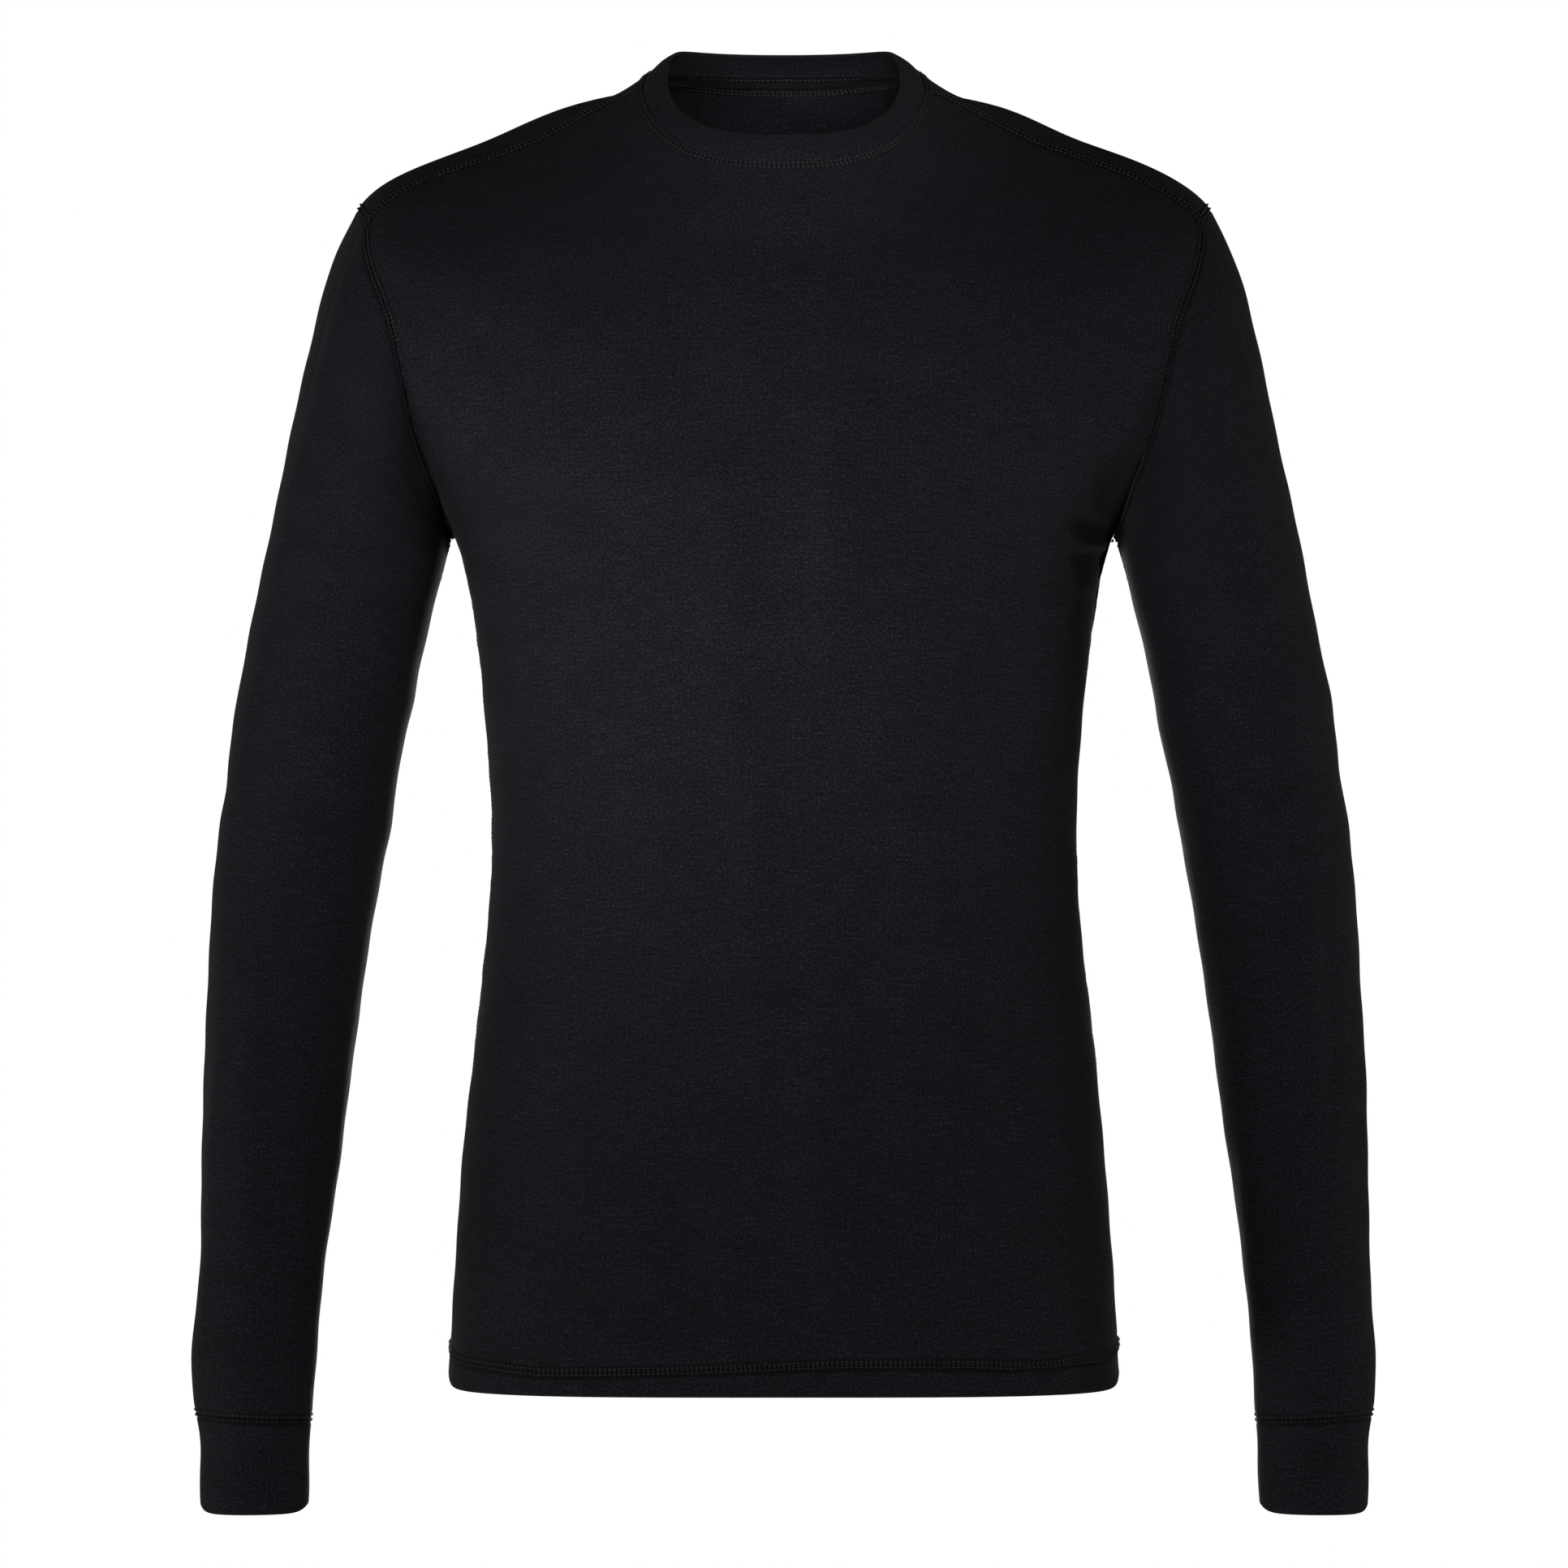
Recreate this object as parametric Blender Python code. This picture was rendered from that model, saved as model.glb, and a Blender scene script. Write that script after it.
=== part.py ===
"""A long-sleeved base layer top, filled out as if it were worn.

Metres, +Z up, the front faces -Y and the wearer's left is at +X. The origin lies on the middle
plane, level with the two points where the neck seam crosses the tops of the shoulders.

The body is a stack of rings from the hem to the neck, and a sleeve is a fan of rings that starts
at the armhole. Every panel is a patch of that one skin, so neighbours share their seam points.
"""

import math

import bmesh
import bpy
import numpy as np

MM = 0.001

# Walls and seams, in metres.
CLOTH = 1.4 * MM  # one layer of knit, as a wall
BAND = 2.2 * MM  # the doubled knit of the collar and cuffs
TAPE = 1.0 * MM  # the tape inside the back of the neck
SEAM_GAP = 0.3 * MM
WELD = 0.01 * MM  # points of neighbouring panels this near are one point
MOST_MITRE = 1.5  # how much longer than the wall is thick its mitred edge may be
MOST_CORNER = 2.5  # how much further than half the gap a panel's corner may move

# How finely the panels are divided.
HALF_PANEL_COLUMNS = 10  # from the middle of the front or back to its edge
OVER_SHOULDER_COLUMNS = 4  # of the back, where it comes forward over each shoulder
HEM_TO_ARMPIT_ROWS = 13
ARMHOLE_ROWS = 9
SHOULDER_ROWS = 6
SLEEVE_ROWS = 22
CUFF_ROWS = 4
RING_SAMPLES = 361

# The body's rings, in millimetres. station runs up the side line from the hem. side, front and
# back are the ring's points at +X, at the front middle and at the back middle. A square of 2 is
# an ellipse, and more is boxier. A high round gives a rounded top over the shoulder and a low one
# a ridge, and the larger the level, the sooner the ring reaches the height of its middle.
BODY_COLUMNS = (
    "station half_width side_y side_z front_y front_z back_y back_z"
    " front_square front_round front_level back_square back_round back_level"
).split()
BODY = (
    (0, 177.0, 2, -691.4, -114, -692.2, 121, -691, 3.8, 3.0, 1.0, 3.0, 3.0, 1.0),
    (86, 172.2, 2, -605.0, -109, -605, 115, -605, 3.0, 3.0, 1.0, 2.7, 3.0, 1.0),
    (172, 164.5, 2, -519.0, -104, -519, 99, -519, 2.6, 3.0, 1.0, 2.5, 3.0, 1.0),
    (258, 155.8, 2, -433.0, -103, -433, 86, -433, 2.4, 3.0, 1.0, 2.4, 3.0, 1.0),
    (310, 155.2, 2, -381.0, -107, -381, 89, -381, 2.4, 3.0, 1.0, 2.4, 3.0, 1.0),
    (360, 158.9, 3, -331.0, -113, -331, 97, -331, 2.4, 3.0, 1.0, 2.4, 3.0, 1.0),
    (404, 164.3, 3, -287.0, -117.5, -287, 105, -287, 2.35, 3.0, 1.0, 2.4, 3.0, 1.0),
    (447, 174.8, 3, -244.0, -119.5, -245, 110, -242, 2.25, 3.0, 1.0, 2.35, 3.0, 1.0),
    (487, 197.0, 3, -206.0, -118, -222, 112, -212, 2.2, 3.0, 1.0, 2.3, 3.0, 1.0),
    (527, 226.0, 3, -166.0, -115, -199, 112, -180, 2.15, 3.0, 1.0, 2.3, 3.0, 1.0),
    (567, 242.0, 4, -127.0, -111.5, -178, 109, -150, 2.15, 3.0, 1.0, 2.3, 3.0, 1.0),
    (602, 237.0, 5, -93.0, -107, -159, 105, -127, 2.3, 2.5, 1.0, 2.35, 2.5, 1.0),
    (625, 225.0, 6, -69.5, -103.5, -146, 101, -111, 2.45, 2.0, 1.0, 2.35, 2.0, 1.0),
    (643, 211.5, 6, -57.6, -100, -134, 97, -97, 2.4, 2.0, 1.0, 2.3, 1.6, 1.0),
    (668, 188.0, 7, -46.3, -95, -117, 91, -78, 2.3, 2.0, 1.0, 2.2, 1.2, 1.1),
    (705, 152.9, 7, -32.4, -87, -94, 83, -51, 2.2, 1.6, 1.05, 2.15, 0.8, 1.3),
    (742, 119.5, 4, -18.0, -79, -72, 73, -24, 2.15, 0.9, 1.2, 2.1, 0.5, 2.0),
    (788, 75.3, -13, -10.0, -70, -52, 62, 4.5, 2.2, 0.22, 1.17, 1.85, 0.15, 8.0),
)
ARMPIT = 447
SHOULDER_POINT = 625
NECK = 788

# Where the panels' edges cross the rings, in millimetres of depth. share runs up the armhole, and
# then along the shoulder from its point to the neck.
ARMHOLE_COLUMNS = "share front_y back_y".split()
ARMHOLE = (
    (0.00, 3, 3),
    (0.10, -22, 28),
    (0.25, -44, 48),
    (0.45, -60, 62),
    (0.65, -64, 66),
    (0.85, -54, 60),
    (1.00, -31, 42),
)
SHOULDER_SEAM_COLUMNS = "share front_y back_y".split()
SHOULDER_SEAM = (
    (0.0, -31, 42),
    (0.3, -27, 40),
    (0.6, -28, 36),
    (1.0, -13, 28),
)

# The sleeve's rings, in millimetres. outer and inner are the ring's points furthest from and
# nearest to the body, and front_y and back_y its depth. The first ring is the armhole.
SLEEVE_COLUMNS = "station outer_x outer_z inner_x inner_z front_y back_y square".split()
SLEEVE = (
    (0, 225.0, -69.5, 174.8, -244.0, -64, 66, 2.0),
    (24, 238.4, -97.0, 175.7, -246.5, -65, 66, 2.0),
    (55, 247.1, -127.0, 177.0, -250.0, -64, 65, 2.0),
    (90, 255.3, -164.0, 178.6, -255.5, -62, 64, 2.05),
    (130, 264.3, -205.0, 180.8, -263.0, -60, 63, 2.1),
    (178, 274.3, -252.0, 184.8, -278.0, -57, 61, 2.1),
    (240, 284.9, -306.0, 194.9, -322.0, -52, 60, 2.1),
    (306, 295.1, -368.0, 206.3, -383.0, -46, 57, 2.1),
    (376, 302.6, -432.0, 217.1, -444.0, -44, 53, 2.1),
    (448, 306.3, -500.0, 226.6, -509.0, -48, 43, 2.1),
    (520, 307.8, -570.0, 235.2, -577.0, -54, 26, 2.1),
    (592, 308.8, -640.0, 243.3, -645.0, -60, 9, 2.1),
    (658, 309.4, -705.0, 248.0, -708.0, -62, -6, 2.1),
)
# The cuff's rings go on from the sleeve's last.
CUFF = (
    (666, 307.8, -713.5, 248.7, -715.5, -61.5, -8, 2.1),
    (686, 306.9, -733.0, 249.2, -734.0, -63, -11, 2.1),
    (710, 306.3, -757.5, 249.6, -757.0, -65.5, -14.5, 2.1),
)
ARMHOLE_SETTLES = 150  # station by which a sleeve ring has lost the armhole's own shape

# The collar's top fold, in millimetres, as a ring like the body's.
COLLAR_TOP = dict(
    half_width=62.0, side_y=-10, side_z=-5.0, front_y=-60, front_z=-36.2, back_y=50, back_z=15.4,
    front_square=2.1, front_round=0.15, front_level=1.33,
    back_square=2.3, back_round=0.12, back_level=5.5,
)
COLLAR_BULGE = 1.2 * MM  # how far the band swells out between its seam and its fold
COLLAR_RINGS = (0, 0.35, 0.7, 1)  # where its rings lie, as shares of its height
FOLD_TURNS = (45, 90, 135)  # degrees round the fold, from the outside to the inside
TAPE_WIDTH = 9 * MM

KNIT_COLOUR = (0.012, 0.012, 0.014)
TAPE_COLOUR = (0.009, 0.009, 0.010)
ROUGHNESS = 0.85
SHARP_ANGLE = 50  # degrees past which an edge is shaded sharp


def smooth_through(knots, values, at):
    """Values at the stations at, on a natural cubic spline through each column of values."""
    knots, values, at = np.asarray(knots, float), np.asarray(values, float), np.asarray(at, float)
    steps = np.diff(knots)
    count = len(knots)
    matrix = np.eye(count)
    right = np.zeros_like(values)
    for i in range(1, count - 1):
        matrix[i, i - 1 : i + 2] = steps[i - 1], 2 * (steps[i - 1] + steps[i]), steps[i]
        slopes = (values[i + 1] - values[i]) / steps[i], (values[i] - values[i - 1]) / steps[i - 1]
        right[i] = 6 * (slopes[0] - slopes[1])
    bend = np.linalg.solve(matrix, right)
    i = np.clip(np.searchsorted(knots, at, side="right") - 1, 0, count - 2)
    step = steps[i][:, None]
    before, after = (at - knots[i])[:, None], (knots[i + 1] - at)[:, None]
    cubic = (bend[i] * after**3 + bend[i + 1] * before**3) / (6 * step)
    start = (values[i] / step - bend[i] * step / 6) * after
    end = (values[i + 1] / step - bend[i + 1] * step / 6) * before
    return cubic + start + end


def rows_of(columns, table, at):
    """One dict of named values for each station in at."""
    table = np.array(table, float)
    return [dict(zip(columns[1:], row)) for row in smooth_through(table[:, 0], table[:, 1:], at)]


def share_of_drop(across, roundness, level):
    """How far a ring has gone in height from its side, 0, to its middle, 1. across runs likewise."""
    rounded = (np.sqrt(across**2 + roundness**2) - roundness) / (math.hypot(1, roundness) - roundness)
    return 1 - np.maximum(1 - rounded, 0) ** level


def body_ring(row):
    """Points from the front middle over the +X side to the back middle, in metres."""
    angle = np.linspace(0, math.pi, RING_SAMPLES)
    across, out = np.abs(np.cos(angle)), np.sin(angle)
    points = np.empty((RING_SAMPLES, 3))
    for front, face in ((True, "front"), (False, "back")):
        half = angle <= math.pi / 2 if front else angle > math.pi / 2
        power = 2 / row[face + "_square"]
        points[half, 0] = row["half_width"] * out[half] ** power
        points[half, 1] = row["side_y"] + (row[face + "_y"] - row["side_y"]) * across[half] ** power
        drop = share_of_drop(across[half] ** power, row[face + "_round"], row[face + "_level"])
        points[half, 2] = row["side_z"] + (row[face + "_z"] - row["side_z"]) * drop
    return points * MM


def lengths_along(points):
    """The length along a line of points at which each of them lies."""
    return np.concatenate([[0], np.cumsum(np.linalg.norm(np.diff(points, axis=0), axis=1))])


def points_at(points, at):
    """The points at these lengths along a line of points."""
    lengths = lengths_along(points)
    return np.stack([np.interp(at, lengths, points[:, k]) for k in range(3)], axis=1)


def along(points, start, end, count):
    """count + 1 points spaced evenly along a line of points, between two lengths along it."""
    return points_at(points, np.linspace(start, end, count + 1))


def length_at_depth(points, y):
    """How far along a ring, from its front middle, the depth y is reached."""
    return float(np.interp(y, points[:, 1], lengths_along(points)))


def body_stations():
    """The stations of the panels' rows, with one row at the tape's lower edge."""
    hem_to_armpit = np.linspace(0, ARMPIT, HEM_TO_ARMPIT_ROWS + 1)
    armhole = np.linspace(ARMPIT, SHOULDER_POINT, ARMHOLE_ROWS + 1)
    shoulder = np.linspace(SHOULDER_POINT, NECK - TAPE_WIDTH / MM, SHOULDER_ROWS)
    return np.concatenate([hem_to_armpit, armhole[1:], shoulder[1:], [NECK]])


def edges_at(station, side_y):
    """The depths, in metres, of the front panel's edge and of the back panel's on a ring."""
    if station <= ARMPIT:
        return side_y * MM, side_y * MM
    if station <= SHOULDER_POINT:
        share = (station - ARMPIT) / (SHOULDER_POINT - ARMPIT)
        row = rows_of(ARMHOLE_COLUMNS, ARMHOLE, [share])[0]
    else:
        share = (station - SHOULDER_POINT) / (NECK - SHOULDER_POINT)
        row = rows_of(SHOULDER_SEAM_COLUMNS, SHOULDER_SEAM, [share])[0]
    return row["front_y"] * MM, row["back_y"] * MM


def half_body():
    """Three grids of points for the +X half: front, over the shoulder and back, row by row."""
    front, over, back = [], [], []
    stations = body_stations()
    for station, row in zip(stations, rows_of(BODY_COLUMNS, BODY, stations)):
        ring = body_ring(row)
        front_edge, back_edge = (length_at_depth(ring, y) for y in edges_at(station, row["side_y"]))
        whole = length_at_depth(ring, ring[-1, 1])
        front.append(along(ring, 0, front_edge, HALF_PANEL_COLUMNS))
        over.append(along(ring, front_edge, back_edge, OVER_SHOULDER_COLUMNS))
        back.append(along(ring, back_edge, whole, HALF_PANEL_COLUMNS))
    return np.array(front), np.array(over), np.array(back)


def mirrored(points):
    return points * np.array([-1, 1, 1])


def armhole_loop(front, over, back):
    """The seam round the +X armhole: up the front, back over the top and down to the armpit."""
    low, high = HEM_TO_ARMPIT_ROWS, HEM_TO_ARMPIT_ROWS + ARMHOLE_ROWS
    up_front = front[low : high + 1, -1]
    over_top = over[high, 1:]
    down_back = back[low:high, 0][::-1]
    return np.concatenate([up_front, over_top, down_back[:-1]])


def sleeve_angles(loop):
    """For each point of the armhole, its angle round the sleeve: 0 at the armpit, half a turn on top."""
    row = dict(zip(SLEEVE_COLUMNS, SLEEVE[0]))
    inner = np.array([row["inner_x"], row["inner_z"]]) * MM
    outer = np.array([row["outer_x"], row["outer_z"]]) * MM
    middle, reach = (inner + outer) / 2, (outer - inner) / 2
    up = ((loop[:, [0, 2]] - middle) @ reach) / (reach @ reach)
    side = (loop[:, 1] - (row["front_y"] + row["back_y"]) / 2 * MM) / (
        (row["back_y"] - row["front_y"]) / 2 * MM
    )
    angle = np.arctan2(-side, -up) % (2 * math.pi)
    angle[0] = 0
    return angle


def sleeve_ring(row, angle):
    """The points at these angles of a sleeve or cuff ring, in metres."""
    inner = np.array([row["inner_x"], row["inner_z"]])
    outer = np.array([row["outer_x"], row["outer_z"]])
    power = 2 / row["square"]
    up, forward = -np.cos(angle), np.sin(angle)
    up = np.sign(up) * np.abs(up) ** power
    forward = np.sign(forward) * np.abs(forward) ** power
    flat = (inner + outer) / 2 + up[:, None] * (outer - inner) / 2
    middle_y, depth = (row["front_y"] + row["back_y"]) / 2, (row["back_y"] - row["front_y"]) / 2
    return np.stack([flat[:, 0], middle_y - forward * depth, flat[:, 1]], axis=1) * MM


def sleeve_grid(loop):
    """Rings of points from the armhole to the cuff seam, each starting under the arm."""
    angle = sleeve_angles(loop)
    stations = SLEEVE[-1][0] * np.linspace(0, 1, SLEEVE_ROWS + 1)
    rows = rows_of(SLEEVE_COLUMNS, SLEEVE, stations)
    misfit = loop - sleeve_ring(rows[0], angle)
    rings = []
    for station, row in zip(stations, rows):
        left = max(0.0, 1 - station / ARMHOLE_SETTLES)
        rings.append(sleeve_ring(row, angle) + misfit * left**2 * (3 - 2 * left))
    return np.array(rings)


def cuff_grid(angle):
    """Rings of points from the cuff seam to the cuff's end."""
    table = SLEEVE[-1:] + CUFF
    stations = np.concatenate([[SLEEVE[-1][0]], np.linspace(CUFF[0][0], CUFF[-1][0], CUFF_ROWS)])
    return np.array([sleeve_ring(row, angle) for row in rows_of(SLEEVE_COLUMNS, table, stations)])


class Skin:
    """The garment's outer skin, welded at the seams, with each face marked with its panel."""

    def __init__(self):
        self.mesh = bmesh.new()
        self.panel = self.mesh.faces.layers.int.new("panel")
        self.row = self.mesh.faces.layers.int.new("row")
        self.names = []

    def add_grid(self, name, grid, around=False):
        """Adds faces between the rows of a grid whose columns run to the right, seen from outside."""
        if name not in self.names:
            self.names.append(name)
        corners = [[self.mesh.verts.new(point) for point in row] for row in grid]
        if around:
            corners = [[*row, row[0]] for row in corners]
        for r, (low, high) in enumerate(zip(corners, corners[1:])):
            for k in range(len(low) - 1):
                face = self.mesh.faces.new((low[k], low[k + 1], high[k + 1], high[k]))
                face[self.panel] = self.names.index(name)
                face[self.row] = len(corners) - 2 - r  # counted down from the top

    def weld(self):
        bmesh.ops.remove_doubles(self.mesh, verts=self.mesh.verts, dist=WELD)
        bmesh.ops.triangulate(self.mesh, faces=self.mesh.faces, quad_method="SHORT_EDGE")
        self.mesh.normal_update()

    def faces_of(self, name):
        number = self.names.index(name)
        return {face for face in self.mesh.faces if face[self.panel] == number}

    def normals_at(self, points):
        """The skin's normal at the vertex nearest to each point."""
        places = np.array([vertex.co for vertex in self.mesh.verts])
        normals = np.array([vertex.normal for vertex in self.mesh.verts])
        nearest = [np.argmin(np.sum((places - point) ** 2, axis=1)) for point in points]
        return normals[nearest]


def seam_inset(vertex, faces):
    """How far a vertex on the outline of these faces moves into them, for half the seam's gap."""
    sides = []
    for edge in vertex.link_edges:
        own = [face for face in edge.link_faces if face in faces]
        if len(own) != 1:
            continue
        facing = sum((face.normal for face in edge.link_faces), vertex.co * 0)
        side = facing.cross(edge.other_vert(vertex).co - vertex.co).normalized()
        if side.dot(own[0].calc_center_median() - vertex.co) < 0:
            side.negate()
        sides.append(side)
    if not sides:
        return vertex.co * 0
    if len(sides) == 1:
        return sides[0] * SEAM_GAP / 2
    corner = (sides[0] + sides[1]) / max(1 / MOST_CORNER, 1 + sides[0].dot(sides[1]))
    return corner * SEAM_GAP / 2


def wall_of(faces, from_depth, to_depth):
    """These faces of the skin as a closed wall between two depths, mitred at the seams."""
    wall = bmesh.new()
    outside, inside = {}, {}
    for vertex in {vertex for face in faces for vertex in face.verts}:
        inset = seam_inset(vertex, faces)
        own = [face.normal for face in vertex.link_faces if face in faces]
        lean = sum(normal.dot(vertex.normal) for normal in own) / len(own)
        mitre = vertex.normal / max(lean, 1 / MOST_MITRE)
        outside[vertex] = wall.verts.new(vertex.co + inset - mitre * from_depth)
        inside[vertex] = wall.verts.new(vertex.co + inset - mitre * to_depth)
    for face in faces:
        ring = list(face.verts)
        wall.faces.new([outside[vertex] for vertex in ring])
        wall.faces.new([inside[vertex] for vertex in reversed(ring)])
        for loop in face.loops:
            if sum(other in faces for other in loop.edge.link_faces) == 1:
                a, b = loop.vert, loop.link_loop_next.vert
                # Both sides of a seam split its wall on the same diagonal.
                if tuple(a.co.zy) < tuple(b.co.zy):
                    wall.faces.new((outside[b], outside[a], inside[b]))
                    wall.faces.new((outside[a], inside[a], inside[b]))
                else:
                    wall.faces.new((outside[b], outside[a], inside[a]))
                    wall.faces.new((outside[b], inside[a], inside[b]))
    return wall


def finish(name, mesh, colour):
    """Links a named object with its own material."""
    mesh.normal_update()
    data = bpy.data.meshes.new(name)
    mesh.to_mesh(data)
    mesh.free()
    data.shade_smooth()
    data.set_sharp_from_angle(angle=math.radians(SHARP_ANGLE))
    material = bpy.data.materials.new(name)
    material.use_nodes = True
    shader = material.node_tree.nodes["Principled BSDF"]
    shader.inputs["Base Color"].default_value = (*colour, 1)
    shader.inputs["Roughness"].default_value = ROUGHNESS
    shader.inputs["Metallic"].default_value = 0
    data.materials.append(material)
    bpy.context.scene.collection.objects.link(bpy.data.objects.new(name, data))


def clear_scene():
    for old in list(bpy.data.objects):
        bpy.data.objects.remove(old)


def neck_ring(front, over, back):
    """The neck seam's points all the way round, from the front middle towards +X."""
    half = np.concatenate([front[-1], over[-1][1:], back[-1][1:]])
    return np.concatenate([half, mirrored(half)[1:-1][::-1]])


def fold_ring(seam):
    """The top of the collar's fold, one point for each point of the neck seam."""
    half = len(seam) // 2
    shares = lengths_along(seam)[: half + 1] / lengths_along(seam)[half]
    top = body_ring(COLLAR_TOP)
    top = points_at(top, shares * lengths_along(top)[-1])
    return np.concatenate([top, mirrored(top)[1:-1][::-1]])


def unit(vectors):
    return vectors / np.linalg.norm(vectors, axis=-1, keepdims=True)


def closed_ring(sections, seam):
    """A closed ring through equal cross-sections of points, each starting at a point of a seam."""
    ring = bmesh.new()
    loops = [[ring.verts.new(point) for point in section] for section in sections]
    for k in range(len(loops)):
        after = (k + 1) % len(loops)
        lower, higher = sorted((k, after), key=lambda n: (seam[n][2], seam[n][1]))
        lower, higher = loops[lower], loops[higher]
        for j in range(len(lower)):
            i = (j + 1) % len(lower)
            # The panels' walls at the seam are split on this same diagonal.
            ring.faces.new((lower[j], lower[i], higher[j]))
            ring.faces.new((lower[i], higher[i], higher[j]))
    bmesh.ops.recalc_face_normals(ring, faces=ring.faces)
    return ring


def collar_sections(seam, seam_out):
    """The doubled band's cross-sections: up its outside, over the fold and down its inside."""
    up = fold_ring(seam) - seam
    height = np.linalg.norm(up, axis=1, keepdims=True)
    up = up / height
    run = unit(np.roll(seam, -1, axis=0) - np.roll(seam, 1, axis=0))
    out = unit(np.cross(run, up))
    out *= np.sign(np.sum(out * seam_out, axis=1, keepdims=True))
    clear = unit(np.cross(seam_out, run))
    clear *= np.sign(np.sum(clear * up, axis=1, keepdims=True))
    radius = BAND / 2
    section = []
    for share in COLLAR_RINGS:
        facing = unit(seam_out * (1 - share) + out * share)
        middle = seam + clear * SEAM_GAP / 2 * (1 - share) + up * (height - radius) * share
        swell = COLLAR_BULGE * math.sin(math.pi * share)
        section.append((middle, facing, swell))
    outside = [middle + facing * swell for middle, facing, swell in section]
    inside = [middle + facing * (swell - BAND) for middle, facing, swell in section]
    middle, facing, _ = section[-1]
    fold = []
    for turn in np.radians(FOLD_TURNS):
        fold.append(middle + facing * (math.cos(turn) - 1) * radius + up * math.sin(turn) * radius)
    return np.stack(outside + fold + inside[::-1], axis=1)


def build():
    """Makes the panels of one skin, and then the collar and tape from the panels' own points."""
    clear_scene()
    front, over, back = half_body()
    loop = armhole_loop(front, over, back)
    sleeve = sleeve_grid(loop)
    cuff = cuff_grid(sleeve_angles(loop))

    skin = Skin()
    # Seen from outside, the front's columns run from -X to +X and the back's from +X to -X.
    skin.add_grid("front", np.concatenate([mirrored(front)[:, :0:-1], front], axis=1))
    skin.add_grid("back", np.concatenate([back, mirrored(back)[:, -2::-1]], axis=1))
    top = HEM_TO_ARMPIT_ROWS + ARMHOLE_ROWS
    skin.add_grid("back", over[top:])
    skin.add_grid("back", mirrored(over[top:])[:, ::-1])
    for side, name in ((1, "sleeve_left"), (-1, "sleeve_right")):
        grid = sleeve[::-1] if side > 0 else mirrored(sleeve)[::-1, ::-1]
        skin.add_grid(name, grid, around=True)
    for side, name in ((1, "cuff_left"), (-1, "cuff_right")):
        grid = cuff[::-1] if side > 0 else mirrored(cuff)[::-1, ::-1]
        skin.add_grid(name, grid, around=True)
    skin.weld()

    seam = neck_ring(front, over, back)
    sections = collar_sections(seam, skin.normals_at(seam))
    finish("collar", closed_ring(sections, seam), KNIT_COLOUR)

    under_seam = {face for face in skin.faces_of("back") if face[skin.row] == 0}
    tape = wall_of(under_seam, CLOTH + SEAM_GAP, CLOTH + SEAM_GAP + TAPE)
    finish("neck_tape", tape, TAPE_COLOUR)

    for name in skin.names:
        thickness = BAND if name.startswith("cuff") else CLOTH
        finish(name, wall_of(skin.faces_of(name), 0, thickness), KNIT_COLOUR)
    skin.mesh.free()


build()
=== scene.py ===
# %% [markdown]
# # A long-sleeved base layer top in fine knit
#
# The garment is one continuous skin over a wearer's body, cut into panels: a front, a back that
# comes forward over the shoulders, two sleeves and two cuffs. We make the skin first, as one fine
# grid, press the seams and soft folds into it, and only then cut it into panels. Neighbours then
# always meet, whatever we do to the surface. The tape inside the neck is cut from the same skin,
# and the collar is a strip of its own, sewn on where the skin ends.
#
# The solids of the same pieces are loaded first. They fix the size and the place of everything.

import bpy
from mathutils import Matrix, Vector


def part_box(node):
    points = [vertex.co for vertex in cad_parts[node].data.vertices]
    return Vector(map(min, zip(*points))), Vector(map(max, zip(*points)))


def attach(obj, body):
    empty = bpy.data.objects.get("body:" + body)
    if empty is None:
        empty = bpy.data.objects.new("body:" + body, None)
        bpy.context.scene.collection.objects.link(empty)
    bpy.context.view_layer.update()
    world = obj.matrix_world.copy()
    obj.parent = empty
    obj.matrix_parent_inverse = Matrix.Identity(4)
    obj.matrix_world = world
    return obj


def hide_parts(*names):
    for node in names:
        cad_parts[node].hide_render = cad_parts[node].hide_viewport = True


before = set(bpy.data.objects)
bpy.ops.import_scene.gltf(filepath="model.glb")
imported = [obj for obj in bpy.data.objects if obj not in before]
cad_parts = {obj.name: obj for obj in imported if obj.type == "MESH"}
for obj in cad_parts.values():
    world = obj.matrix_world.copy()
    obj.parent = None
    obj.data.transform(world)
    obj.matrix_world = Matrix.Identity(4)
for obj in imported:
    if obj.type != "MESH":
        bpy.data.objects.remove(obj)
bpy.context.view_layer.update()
print("pieces:", ", ".join(sorted(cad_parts)))

# %% Modules and units
import math

import bpy
import numpy as np
from mathutils import Vector
from mathutils.bvhtree import BVHTree
from mathutils.kdtree import KDTree

MM = 0.001
print("lengths in the tables are in millimetres, and everything built is in metres")

# %% [markdown]
# ## The body's rings
#
# A fitted top is close to a stack of level rings, from the hem up to the neck. We could sculpt it,
# or fit it by hand in a few dozen places. A table of rings with a smooth curve through each column
# is easier to read and to correct: each row says how wide, how deep and how high one ring is.
# Near the shoulders a ring is no longer level. Its front and back hang lower than its sides, and
# `round` and `level` say how it rises from the middle of the chest to the top of the shoulder.

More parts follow.
